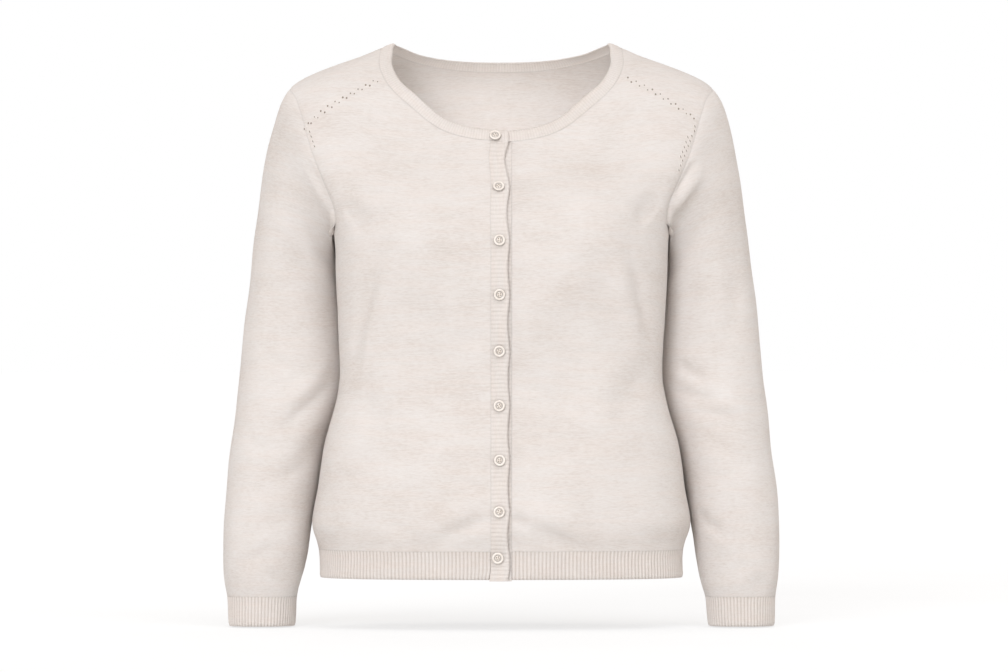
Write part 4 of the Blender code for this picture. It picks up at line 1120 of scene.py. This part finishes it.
# sleeves and cuffs
row_of = np.linspace(0, len(SLEEVE) - 1, 421)
line = sleeve.point(np.zeros(421), row_of)
run = np.concatenate([[0], np.cumsum(np.linalg.norm(np.diff(line, axis=0), axis=1))])
cuff_at = np.interp(CUFF_ROW, row_of, run)
sleeve_r = np.interp(np.linspace(0, cuff_at, 128), run, row_of)
fold_arm = {1: [], -1: []}
for side, r0, t0, r1, t1, wd, ht in SLEEVE_FOLDS:
    s = np.linspace(0, 1, 11)
    p = sleeve.point(t0 + (t1 - t0) * s, r0 + (r1 - r0) * s)
    fold_arm[side].append((mirror(p, side), wd * MM, ht * MM))


for side in (1, -1):
    fold_arm[side].append((mirror(valley, side), VALLEY[0], VALLEY[1] / 1.35))


def arm_relief(P, t, r, side):
    """Outward move of the sleeve, joined to the body's at the armhole and flat against the body."""
    world = mirror(P.reshape(-1, 3), side)
    d = swell(world) * 0.9
    for line_, wd, ht in fold_arm[side]:
        d += sink(world, line_, wd, ht * 1.35)
    d = d.reshape(t.shape)
    inside = np.exp(-((np.mod(t, 2.0) - 1) / 0.20) ** 2) * (1 - smooth_step(r, 16.5, 18.0))
    d = d * (1 - inside) + np.clip(d, -0.0006 - 0.0020 * (1 - smooth_step(r, 0.8, 2.6)), 0.0) * inside
    at_seam = body_relief(world).reshape(t.shape)
    f = smooth_step(r, 0.0, 0.7)
    d = at_seam * (1 - f) + d * f
    return d * (1 - 0.6 * smooth_step(r, 18.2, 19.0))


ring_len = float(np.linalg.norm(np.diff(sleeve.point(np.linspace(0, 2, 181), np.full(181, 10.0)), axis=0), axis=1).sum())
t_s = np.linspace(0, 2, len(loop) + 1)
for side, name in ((1, "left"), (-1, "right")):
    tt, rr = np.meshgrid(t_s, sleeve_r, indexing="ij")
    P, W = sleeve.point(tt, rr), sleeve.normal(tt, rr)
    # the first rows lie almost on one another at the underarm; there the cloth faces as it does a little lower down
    lower = sleeve.normal(tt, np.maximum(rr, 1.6))
    turn_in = np.exp(-((tt - 1) / 0.30) ** 4) * (1 - smooth_step(rr, 0.9, 1.6))
    turn_in = np.where((W * lower).sum(-1) < 0.35, 1.0, turn_in)
    W = unit(W * (1 - turn_in)[..., None] + lower * turn_in[..., None])
    P = P + W * arm_relief(P, tt, rr, side)[..., None]
    # courses lie square across the arm, also where the head of the sleeve is cut away round the armhole
    course_v = -P[..., 2] + 0.35 * (P[..., 0] - 0.25) * (1 - smooth_step(rr, 2.0, 9.0))
    UV = np.stack([(tt - 1) * ring_len / 2 + 0.9, course_v], -1)
    shell("sleeve_%s_cloth" % name, P, W, UV, wrap=True, side=side, finish=knit,
                                   node="sleeve_" + name, groove=0.6 * MM,
                                   mitre_at=(np.arange(len(loop)) * P.shape[1], mitre))
    # cuff: upright ribs, evenly spaced round the wrist
    fine_t = np.linspace(0, 2, 1441)
    pr = sleeve.point(fine_t, np.full(1441, 20.0))
    s = np.concatenate([[0], np.cumsum(np.linalg.norm(np.diff(pr, axis=0), axis=1))])
    ribs = int(round(s[-1] / (4.0 * MM)))
    tc = np.interp(np.linspace(0, s[-1], ribs * 8 + 1), s, fine_t)
    rc = np.interp(np.linspace(cuff_at, run[-1], 11), run, row_of)
    tt, rr = np.meshgrid(tc, rc, indexing="ij")
    P, W = sleeve.point(tt, rr), sleeve.normal(tt, rr)
    v = (np.interp(rr, row_of, run) - cuff_at) / (run[-1] - cuff_at)
    hollow = rib(np.arange(ribs * 8 + 1)[:, None] / 8.0 + 0 * v, 1.0)
    wave = 0.35 * np.sin(2 * np.pi * tt * 1.5 + side) + 0.25 * np.sin(2 * np.pi * tt * 2.5 + 2.0 * side)
    rise = -0.95 * hollow * (0.5 + 0.5 * smooth_step(v, 0.0, 0.18)) + wave * v - 0.5 * smooth_step(v, 0.93, 1.0)
    P = P + W * (rise * MM + arm_relief(P, tt, rr, side))[..., None]
    UV = np.stack([np.broadcast_to(np.linspace(0, s[-1], ribs * 8 + 1)[:, None], tt.shape), np.interp(rr, row_of, run)], -1)
    shell("cuff_%s_rib" % name, P, W, UV, wrap=True, side=side, finish=ribbed,
                                 node="cuff_" + name, groove=0.25 * MM, groove_w=1.6 * MM,
                                 hollow_shade=hollow, free=v > 0.5)

# hem bands: upright ribs
band_z = np.linspace(HEM_Z, RIB_Z, 11)


def hem_rise(v, hollow):
    return (-0.95 * hollow * (0.55 + 0.45 * smooth_step(1 - v, 0.0, 0.15)) - 0.5 * smooth_step(1 - v, 0.93, 1.0)) * MM


vv = np.broadcast_to(((band_z - HEM_Z) / (RIB_Z - HEM_Z))[None, :], (1, 11))
for side, name, sign in ((1, "hem_front_left", -1), (-1, "hem_front_right", 1)):
    width = front.len_at(band_z) - PLACKET_X
    ribs = int(round(width.mean() / (4.35 * MM)))
    u = np.linspace(0, 1, ribs * 8 + 1)[:, None]
    a = PLACKET_X + width[None, :] * u
    z = np.broadcast_to(band_z, a.shape)
    W = front.normal(a, z)
    P = front.point(a, z) + W * (sign * lap(a))[..., None]
    hollow = rib(u * ribs + 0.5 + 0 * a, 1.0)
    P = P + W * hem_rise(vv + 0 * a, hollow)[..., None]
    P = relieved(P, W, side)
    UV = np.stack([a, z], -1)
    shell(name + "_rib", P, W, UV, side=side, finish=ribbed, node=name, groove=0.15 * MM,
                       groove_w=1.6 * MM, hollow_shade=hollow, free=(vv + 0 * a) < 0.5, shift=drift if side < 0 else None)
half_w = back.len_at(band_z)
ribs = int(round(2 * half_w.mean() / (4.35 * MM)))
u = np.linspace(-1, 1, ribs * 8 + 1)[:, None]
a = np.abs(u) * half_w[None, :]
z = np.broadcast_to(band_z, a.shape)
sg = np.where(u > 0, -1.0, 1.0) + 0 * a
W, P = back.normal(a, z), back.point(a, z)
W[..., 0] *= sg
P[..., 0] *= sg
hollow = rib((u + 1) * ribs / 2 + 0 * a, 1.0)
P = P + W * hem_rise(vv + 0 * a, hollow)[..., None]
P = relieved(P, W, 1)
UV = np.stack([u * half_w[None, :], z], -1)
shell("hem_back_rib", P, W, UV, finish=ribbed, node="hem_back", groove=0.15 * MM,
                         groove_w=1.6 * MM, hollow_shade=hollow, free=(vv + 0 * a) < 0.5)


# front bands: ribs lie across, the upper one's edge bows in between the buttons
def neck_z(a):
    t = np.array(NECK_FRONT, float)
    return fair(t[:, 0], t[:, 1], np.abs(a) / MM) * MM


button_z = np.array([b[1] for b in BUTTONS]) * MM


def bow(z):
    """0 level with a button, 1 half-way between two."""
    z = np.asarray(z, float)
    s = np.zeros(z.shape)
    for i, (hi, lo) in enumerate(zip(button_z[:-1], button_z[1:])):
        u = (z - lo) / (hi - lo)
        s = np.where((u > 0) & (u < 1), np.sin(np.pi * np.clip(u, 0, 1)) ** 1.5 * (1.15, 1.0, 0.85, 0.95, 0.8, 0.9, 0.8, 1.0)[i], s)
    return s


for side, name, sign in ((1, "placket_left", -1), (-1, "placket_right", 1)):
    cols = 9
    ribs = int(round((fg[0, JK, 1] - HEM_Z) / (4.8 * MM)))
    share = np.linspace(0, 1, ribs * 8 + 1)
    zz = HEM_Z - 0.0015 + (fg[0, JK, 1] - HEM_Z + 0.0015) * share
    ca = np.linspace(PLACKET_X - PLACKET_W, PLACKET_X, cols)
    top = neck_z(ca)
    gz = zz[None, :] + (top[:, None] - zz[-1]) * share[None, :] ** 6
    w_across = np.linspace(1, 0, cols)[:, None]            # 1 at the free edge, 0 at the seam
    bw = bow(gz)
    inset_edge = (2.6 * MM * bw if side < 0 else 0.3 * MM * bw) * w_across
    ga = ca[:, None] + inset_edge
    W = front.normal(ga, gz)
    P = front.point(ga, gz) + W * (sign * LAP)
    hollow = rib(share[None, :] * ribs + 0.03 * np.sin(9 * w_across) + 0 * ga, 1.0)
    fade = smooth_step(1 - w_across, 0.0, 0.16) * smooth_step(w_across, 0.0, 0.12)
    rise = -(0.50 if side < 0 else 0.30) * hollow * (0.3 + 0.7 * fade) * MM
    if side < 0:
        rise = rise + (1.5 * bw + 0.55) * MM * w_across ** 2        # lifts between the buttons
    else:                                                  # sinks where the upper band's edge lies on it
        rise = rise - 1.9 * MM * np.exp(-((ga - (PLACKET_W - PLACKET_X)) / (1.6 * MM)) ** 2)
    rise = rise - 0.35 * MM * (1 - smooth_step(1 - w_across, 0.0, 0.10))
    P = P + W * rise[..., None]
    P = relieved(P, W, side)
    UV = np.stack([gz, ga], -1)
    shell(name + "_rib", P, W, UV, side=side, finish=ribbed, node=name, groove=0.22 * MM,
                       groove_w=1.2 * MM, hollow_shade=hollow * 0.35, free=(w_across + 0 * ga) > 0.5,
                       thick=WALL if side > 0 else 1.9 * MM, shift=drift if side < 0 else None)

# neck band: one strip from the under end, round the left front, the back, the right front, to the upper end
path_p, path_n = [], []


def go(half, a, z, mir, lift):
    a, z = np.atleast_1d(a), np.atleast_1d(z)
    n = half.normal(a, z)
    p = half.point(a, z) + n * np.atleast_1d(lift)[:, None]
    path_p.extend(p * (mir, 1, 1))
    path_n.extend(n * (mir, 1, 1))


neck_f = np.vstack([fg[:K, JK], fg[K, JK:]])        # centre front to shoulder
neck_b = bg[:BK + 1, BM]                            # centre back to shoulder
end_a = np.linspace(PLACKET_X - PLACKET_W, 0.009, 8)
go(front, end_a, neck_z(end_a), 1, np.full(8, -LAP))
go(front, neck_f[:, 0], neck_f[:, 1], 1, -lap(neck_f[:, 0]))
go(back, neck_b[-2::-1, 0], neck_b[-2::-1, 1], 1, np.zeros(len(neck_b) - 1))
go(back, neck_b[1:-1, 0], neck_b[1:-1, 1], -1, np.zeros(len(neck_b) - 2))
go(front, neck_f[::-1, 0], neck_f[::-1, 1], -1, lap(neck_f[::-1, 0]))
end_a = np.linspace(0.009, -0.0085, 8)
go(front, end_a, neck_z(end_a), -1, np.full(8, LAP))
P0, W0 = np.array(path_p), np.array(path_n)
d = np.concatenate([[0], np.cumsum(np.linalg.norm(np.diff(P0, axis=0), axis=1))])
ribs = int(round(d[-1] / (3.3 * MM)))
even = np.linspace(0, d[-1], ribs * 8 + 1)
P0 = np.stack([np.interp(even, d, P0[:, c]) for c in range(3)], 1)
W0 = unit(np.stack([np.interp(even, d, W0[:, c]) for c in range(3)], 1))
k = np.exp(-0.5 * (np.arange(-24, 25) / 9.0) ** 2)
k /= k.sum()


def even_out(v):
    head, tail = 2 * v[0] - v[24:0:-1], 2 * v[-1] - v[-2:-26:-1]
    big = np.vstack([head, v, tail])
    return np.stack([np.convolve(big[:, c], k, "valid") for c in range(3)], 1)


P0, W0 = even_out(P0), unit(even_out(W0))
T = np.gradient(P0, axis=0)
T[:, 2][np.abs(P0[:, 0]) < 0.012] *= 0.3
T = even_out(T)
across = unit(np.cross(W0, T))
share = np.linspace(0, 1, 9)[None, :]
hollow = rib(np.arange(ribs * 8 + 1)[:, None] / 8.0 + 0 * share, 1.0)
rise = (0.75 * np.sin(np.pi * share) ** 0.7 + 0.15 - 0.75 * smooth_step(share, 0.86, 1.0)
        - 0.34 * hollow * smooth_step(share, 0.0, 0.2) * (1 - 0.4 * smooth_step(share, 0.85, 1.0)))
to_end = np.clip((even[-1] - even) / (4.0 * MM), 0, 1)          # the upper end's corner is rounded off
tall = 1 - 0.27 * (1 - np.sqrt(1 - (1 - to_end) ** 2))
P = P0[:, None, :] + across[:, None, :] * (NECK_BAND * share * tall[:, None])[..., None] + W0[:, None, :] * (rise * MM)[..., None]
W = np.repeat(W0[:, None, :], 9, axis=1)
d_seam = body_relief(P0)
P = P + W * d_seam[:, None, None]
UV = np.stack([even[:, None] + 0 * share, NECK_BAND * share + 0 * even[:, None]], -1)
shell("neckband_rib", P, W, UV, finish=ribbed, node="neckband", groove=0.22 * MM,
                         groove_w=1.2 * MM, hollow_shade=hollow * 0.3, free=(share + 0 * even[:, None]) > 0.5)


# ---------------------------------------------------------------- small work on the cloth
class Heap:
    """Collects small closed bits into one mesh."""

    def __init__(self):
        self.v, self.f, self.m, self.n = [], [], [], 0

    def add(self, verts, faces, slot=0):
        self.v.append(np.asarray(verts, float))
        self.f += [tuple(i + self.n for i in f) for f in faces]
        self.m += [slot] * len(faces)
        self.n += len(verts)

    def make(self, name, mats, slot):
        mesh = bpy.data.meshes.new(name)
        mesh.from_pydata(np.vstack(self.v).tolist(), [], self.f)
        for m in mats:
            mesh.materials.append(m)
        mesh.polygons.foreach_set("material_index", self.m)
        mesh.polygons.foreach_set("use_smooth", [True] * len(self.f))
        mesh.update()
        obj = bpy.data.objects.new(name, mesh)
        bpy.context.scene.collection.objects.link(obj)
        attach(obj, "root")
        return obj


def turned(profile, seg, cap=True):
    """Closed body of revolution about z; profile rows (radius, height) from the top centre down to the bottom centre."""
    v, f = [], []
    rows = []
    for r, h in profile:
        if r < 1e-9:
            rows.append([len(v)])
            v.append((0.0, 0.0, h))
        else:
            rows.append(list(range(len(v), len(v) + seg)))
            v += [(r * math.cos(2 * math.pi * i / seg), r * math.sin(2 * math.pi * i / seg), h) for i in range(seg)]
    for a, b in zip(rows[:-1], rows[1:]):
        for i in range(seg):
            j = (i + 1) % seg
            if len(a) == 1:
                f.append((a[0], b[i], b[j]))
            elif len(b) == 1:
                f.append((a[j], a[i], b[0]))
            else:
                f.append((a[i], b[i], b[j], a[j]))
    return np.array(v), f


def ring_of(major, minor, n1, n2, sx=1.0, sy=1.0):
    v, f = [], []
    for i in range(n1):
        a = 2 * math.pi * i / n1
        for j in range(n2):
            b = 2 * math.pi * j / n2
            r = major + minor * math.cos(b)
            v.append((r * math.cos(a) * sx, r * math.sin(a) * sy, minor * math.sin(b)))
    for i in range(n1):
        for j in range(n2):
            f.append((i * n2 + j, ((i + 1) % n1) * n2 + j, ((i + 1) % n1) * n2 + (j + 1) % n2, i * n2 + (j + 1) % n2))
    return np.array(v), f


def strand(points, radius, seg=7):
    """Closed round strand along points, rounded off at both ends."""
    P = np.asarray(points, float)
    T = unit(np.gradient(P, axis=0))
    up = np.array((0.0, 0.0, 1.0)) if abs(T[0][2]) < 0.8 else np.array((1.0, 0.0, 0.0))
    v, f, rows = [], [], []
    n = len(P)
    v.append(P[0] - T[0] * radius * 0.7)
    for i in range(n):
        side_ = unit(np.cross(T[i], up))
        top_ = np.cross(side_, T[i])
        rr = radius * (0.72 if i in (0, n - 1) else 1.0)
        rows.append(len(v))
        v += [P[i] + (side_ * math.cos(2 * math.pi * k_ / seg) + top_ * math.sin(2 * math.pi * k_ / seg)) * rr for k_ in range(seg)]
    v.append(P[-1] + T[-1] * radius * 0.7)
    for k_ in range(seg):
        m_ = (k_ + 1) % seg
        f.append((0, rows[0] + m_, rows[0] + k_))
        f.append((len(v) - 1, rows[-1] + k_, rows[-1] + m_))
        for i in range(n - 1):
            f.append((rows[i] + k_, rows[i] + m_, rows[i + 1] + m_, rows[i + 1] + k_))
    return np.array(v), f


def frame_at(half, a, z, side):
    """Place on the finished front and its three directions: along the course, up the wale, out."""
    a, z = np.array([a]), np.array([z])
    n = half.normal(a, z)
    p = half.point(a, z)
    world = mirror(p, side)
    p = p + n * body_relief(world)[:, None]
    up = half.point(a, z + 0.001) - half.point(a, z)
    n, up = n[0], unit(up[0])
    cross = np.cross(up, n)
    m = np.array((float(side), 1.0, 1.0))
    return p[0] * m, unit(np.cross(up, n)) * m * side, up * m, n * m


def placed(v, at, ex, ey, ez):
    return at + v[:, :1] * ex + v[:, 1:2] * ey + v[:, 2:] * ez


# Eyelet lines, two to a shoulder, millimetres: (x, z) along each line, then how many eyelets
EYELETS = (
    (-1, ((146.4, -44.8), (180.2, -63.4), (202.6, -76.4), (220.5, -93.2)), 10),
    (-1, ((141.3, -45.8), (175.3, -63.8), (197.8, -78.0), (225.0, -99.8)), 11),
    (1, ((144.8, -41.0), (170.9, -53.8), (197.8, -70.3), (216.0, -83.4)), 9),
    (1, ((148.6, -46.3), (175.2, -59.8), (202.8, -77.0), (220.0, -88.0)), 9),
)
# Shaping marks: (x, z) millimetres and how far each leans
MARKS = {
    1: [((221.0 - 0.40 * k_, -97.0 - 5.4 * k_), 24.0) for k_ in range(2)]
       + [((217.6 - 2.05 * k_, -108.0 - 5.6 * k_), 26.0 + 4.0 * math.sin(2.1 * k_)) for k_ in range(8)]
       + [((213.0 - 2.0 * k_, -109.5 - 5.6 * k_), 20.0 + 4.0 * math.cos(1.7 * k_)) for k_ in range(5)],
    -1: [((219.0 - 1.9 * k_, -103.0 - 5.6 * k_), 24.0) for k_ in range(4)],
}
for side, where_ in ((1, "left"), (-1, "right")):
    holes, yarns = Heap(), Heap()
    for s_, pts_, count in EYELETS:
        if s_ != side:
            continue
        q_ = np.array(pts_) * MM
        d_ = np.concatenate([[0], np.cumsum(np.linalg.norm(np.diff(q_, axis=0), axis=1))])
        for i, s in enumerate(np.linspace(0, d_[-1], count)):
            x, z = fair(d_, q_[:, 0], s), fair(d_, q_[:, 1], s)
            a = float(front.a_of_x(np.array([float(x)]), np.array([float(z)]))[0])
            at, ex, ey, ez = frame_at(front, a, float(z), side)
            big = 1.0 + 0.16 * math.sin(2.3 * i + side)
            v, f = turned([(0, 0.00020), (0.00055, 0.00017), (0.00092, 0.00006), (0.00084, -0.0002), (0, -0.00026)], 12)
            v = v * (1.0 * big, 1.25 * big, 1.0)
            holes.add(placed(v, at, ex, ey, ez), f)
            v, f = ring_of(0.00118 * big, 0.00030, 16, 6, 1.0, 1.25)
            yarns.add(placed(v + (0, 0, 0.00006), at, ex, ey, ez), f)
            # the strand carried across beside the eyelet
            for sx in (-1, 1):
                line_ = [(sx * 0.00205 * big, -0.0021, -0.00006), (sx * 0.00185 * big, -0.0008, 0.00020),
                         (sx * 0.00175 * big, 0.0008, 0.00020), (sx * 0.00145 * big, 0.0023, -0.00006)]
                v, f = strand(line_, 0.00032, 6)
                yarns.add(placed(v, at, ex, ey, ez), f)
    # shaping marks where stitches are taken in beside the armhole: pairs of slanting stitches
    for (x, z), lean in MARKS[side]:
        a = float(front.a_of_x(np.array([x * MM]), np.array([z * MM]))[0])
        at, ex, ey, ez = frame_at(front, a, z * MM, side)
        c_, s_n = math.cos(math.radians(lean)), math.sin(math.radians(lean))
        turn_ = np.array(((c_, s_n, 0.0), (-s_n, c_, 0.0), (0.0, 0.0, 1.0)))
        for dx in (-0.0013, 0.0013):
            line_ = np.array([(dx, -0.0024, -0.00006), (dx * 1.1, -0.0008, 0.00030), (dx * 1.1, 0.0008, 0.00030), (dx, 0.0024, -0.00006)])
            v, f = strand(line_ @ turn_, 0.00046, 7)
            yarns.add(placed(v, at, ex, ey, ez), f)
        v, f = turned([(0, 0.00014), (0.00046, 0.00008), (0.00042, -0.0001), (0, -0.00012)], 8)
        holes.add(placed((v * (1.0, 3.6, 1.0)) @ turn_, at, ex, ey, ez), f)
    holes.make("eyelet_holes_" + where_, [hole_dark], "knit")
    yarns.make("eyelet_yarn_" + where_, [yarn], "knit")

# buttons: raised outer ring, dished middle with four holes, sewn on with thread
BUTTON_SHAPE = (   # radius, height, millimetres, from the middle of the dish outwards and round underneath
    (0.0, 1.72), (1.4, 1.72), (2.35, 1.68), (2.75, 1.52), (3.0, 1.18), (3.25, 0.98), (3.6, 0.98), (3.85, 1.20), (4.05, 1.75),
    (4.3, 2.22), (4.7, 2.50), (5.3, 2.60), (5.9, 2.46), (6.35, 2.08), (6.7, 1.50), (6.92, 1.0), (6.9, 0.60), (6.55, 0.24), (6.0, 0.05), (5.0, 0.0), (0.0, 0.0),
)
TURNS = (24.0, 40.0, -8.0, 12.0, -22.0, 30.0, 4.0, -14.0, 18.0)
for k_, (bx, bz, tip) in enumerate(BUTTONS, 1):
    a, z = -bx * MM, bz * MM
    n = Vector(front.normal(a, z) * (-1, 1, 1))
    p = Vector(front.point(a, z) * (-1, 1, 1))
    lift = LAP + GAP + (0.0016 if k_ == 1 else 0.0005)
    n = Matrix.Rotation(math.radians(tip), 3, "X").inverted() @ n
    turn = Matrix.Rotation(math.radians(TURNS[k_ - 1]), 4, "Z")
    place = Matrix.Translation(p + n * lift) @ n.to_track_quat("Z", "Y").to_matrix().to_4x4() @ turn
    h = Heap()
    v, f = turned([(r * MM, t_ * MM) for r, t_ in BUTTON_SHAPE], 48)
    h.add(v, f, 0)
    for sx in (-1, 1):
        for sy in (-1, 1):
            v, f = turned([(0, 0.00006), (0.00070, 0.00005), (0.00080, 0.0), (0.00074, -0.0003), (0, -0.0003)], 12)
            h.add(v + (sx * 1.18 * MM, sy * 1.18 * MM, 1.705 * MM), f, 2)
    for sx in (-1, 1):
        for off in (-0.20, 0.22):
            x = (sx * 1.18 + off) * MM
            line_ = [(x, -1.20 * MM, 1.52 * MM), (x, -0.95 * MM, 1.89 * MM), (x + off * 0.25 * MM, -0.3 * MM, 2.07 * MM),
                     (x + off * 0.25 * MM, 0.35 * MM, 2.07 * MM), (x, 0.95 * MM, 1.89 * MM), (x, 1.20 * MM, 1.52 * MM)]
            v, f = strand(line_, 0.18 * MM, 7)
            h.add(v, f, 1)
    # shank of thread under the button
    v, f = turned([(0, 0.0), (1.5 * MM, 0.0), (1.4 * MM, -0.5 * MM), (0, -0.5 * MM)], 12)
    h.add(v - (0, 0, 0.02 * MM), f, 1)
    obj = h.make("button_%d_pearly" % k_, [pearl, thread, hole_dark], "button")
    # where the button's finish paints shade: the groove inside the rim and the outer edge
    far_out = np.linalg.norm(np.vstack(h.v)[:, :2], axis=1) / MM
    dim_ = np.exp(-((far_out - 3.45) / 0.55) ** 2) + smooth_step(far_out, 6.2, 6.9)
    at_ = obj.data.attributes.new("hollow", "FLOAT", "POINT")
    at_.data.foreach_set("value", np.clip(dim_, 0, 1).astype(np.float32))
    obj.data.transform(place)
    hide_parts("button_%d" % k_)
    # the slit of the buttonhole, level with the button, with its rows of thread
    hb = Heap()
    x0, x1 = (bx - 10.4) * MM, (bx - 5.6) * MM
    slit = []
    for x in np.linspace(x0, x1, 7):
        aa, zz = np.array([-x]), np.array([z - 0.0002])
        q_ = front.point(aa, zz)[0] + front.normal(aa, zz)[0] * (LAP + 0.00012)
        slit.append(q_ * (-1, 1, 1) + np.array((0, 0, 0)) + np.array(front.normal(aa, zz)[0] * (-1, 1, 1)) * float(body_relief(q_ * (-1, 1, 1))[0]))
    slit = np.array(slit)
    if k_ > 1:
        for dz in (-0.00045, 0.00045):
            v, f = strand(slit + (0, 0, dz), 0.00028, 6)
            hb.add(v, f, 0)
        obj = hb.make("buttonhole_%d" % k_, [yarn], "rib")


# ---------------------------------------------------------------- what each sheet was cut to, listed only: flat() does nothing with it
def flat(key, w, l, area, held="draped", rests=()):
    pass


flat("front_left", 0.292, 0.640, 0.1408)
flat("front_right", 0.292, 0.640, 0.1408)
flat("back", 0.560, 0.640, 0.2976)
flat("sleeve_left", 0.420, 0.620, 0.1778)
flat("sleeve_right", 0.420, 0.620, 0.1778)
flat("cuff_left", 0.265, 0.034, 0.0090)
flat("cuff_right", 0.265, 0.034, 0.0090)
flat("hem_front_left", 0.290, 0.033, 0.0095)
flat("hem_front_right", 0.290, 0.033, 0.0095)
flat("hem_back", 0.575, 0.033, 0.0189)
flat("placket_left", 0.0213, 0.560, 0.01185)
flat("placket_right", 0.0213, 0.560, 0.01185)
flat("neckband", 0.875, 0.0145, 0.0127)

SKY = 0.60
SUNS = (   # name, round from the front (degrees, + towards +X), height, strength, soft angle
    ("key", -17.0, 19.0, 1.40, 22.0),
    ("fill", 20.0, 54.0, 0.98, 45.0),
    ("back", 176.0, 32.0, 0.70, 60.0),
)
FLOOR_GLOW = 0.690
INSIDE = 0.225


# ---------------------------------------------------------------- floor, light and camera
floor_z = float(cad_box[0][2]) - 0.0016
mesh = bpy.data.meshes.new("studio_floor")
far = 60.0
mesh.from_pydata([(-far, -far, floor_z), (far, -far, floor_z), (far, far, floor_z), (-far, far, floor_z)], [], [(0, 1, 2, 3)])
floor = bpy.data.objects.new("studio_floor", mesh)
bpy.context.scene.collection.objects.link(floor)
t = Tree("pale_floor")
co = t.node("ShaderNodeTexCoord").outputs["Object"]
sp = t.noise(co, 3.0, 2.0, 0.5)
t.put(t.shader.inputs["Base Color"], t.mix(sp, (0.29, 0.29, 0.29, 1), (0.31, 0.31, 0.31, 1)))
# a lit floor, such as a light table: it stays pale where the garment keeps the light off it
t.shader.inputs["Emission Color"].default_value = (1.0, 1.0, 1.0, 1)
t.shader.inputs["Emission Strength"].default_value = FLOOR_GLOW
t.shader.inputs["Roughness"].default_value = 1.0
t.shader.inputs["Specular IOR Level"].default_value = 0.0
mesh.materials.append(t.mat)

world = bpy.data.worlds.new("studio")
bpy.context.scene.world = world
world.use_nodes = True
nt = world.node_tree
soft = nt.nodes["Background"]
soft.inputs["Color"].default_value = (1.0, 0.925, 0.85, 1)
soft.inputs["Strength"].default_value = SKY
seen = nt.nodes.new("ShaderNodeBackground")
seen.inputs["Color"].default_value = (1.0, 1.0, 1.0, 1)
seen.inputs["Strength"].default_value = 1.0
pick = nt.nodes.new("ShaderNodeMixShader")
path = nt.nodes.new("ShaderNodeLightPath")
nt.links.new(path.outputs["Is Camera Ray"], pick.inputs[0])
nt.links.new(soft.outputs[0], pick.inputs[1])
nt.links.new(seen.outputs[0], pick.inputs[2])
nt.links.new(pick.outputs[0], nt.nodes["World Output"].inputs["Surface"])

for name, az, el, strength, wide in SUNS:
    lamp = bpy.data.lights.new(name, "SUN")
    lamp.energy = strength
    lamp.angle = math.radians(wide)
    lamp.color = (0.967, 1.0, 1.055)
    obj = bpy.data.objects.new(name, lamp)
    bpy.context.scene.collection.objects.link(obj)
    a, e = math.radians(az), math.radians(el)
    towards = Vector((math.sin(a) * math.cos(e), -math.cos(a) * math.cos(e), math.sin(e)))
    obj.rotation_euler = (-towards).to_track_quat("-Z", "Y").to_euler()

# soft lamp out of sight inside the front, for the inside of the back
lamp = bpy.data.lights.new("inside_lamp", "AREA")
lamp.shape = "RECTANGLE"
lamp.size, lamp.size_y = 0.20, 0.05
lamp.energy = INSIDE
obj = bpy.data.objects.new("inside_lamp", lamp)
bpy.context.scene.collection.objects.link(obj)
obj.location = (0.0, -0.055, -0.185)
obj.rotation_euler = Vector((0.0, 0.75, 0.66)).to_track_quat("-Z", "Y").to_euler()
obj.visible_camera = False

bpy.context.scene.view_settings.view_transform = "Standard"
bpy.context.scene.view_settings.look = "None"
bpy.context.scene.view_settings.exposure = 0.0
bpy.context.scene.view_settings.gamma = 1.0

cam = bpy.data.cameras.new("camera")
cam.sensor_width = 36.0
cam.lens = 264.0
cam.clip_end = 200.0
eye = bpy.data.objects.new("camera", cam)
eye.location = (0.0031, -8.5, -0.3364)
eye.rotation_euler = (math.radians(90), 0, 0)
bpy.context.scene.collection.objects.link(eye)
bpy.context.scene.camera = eye
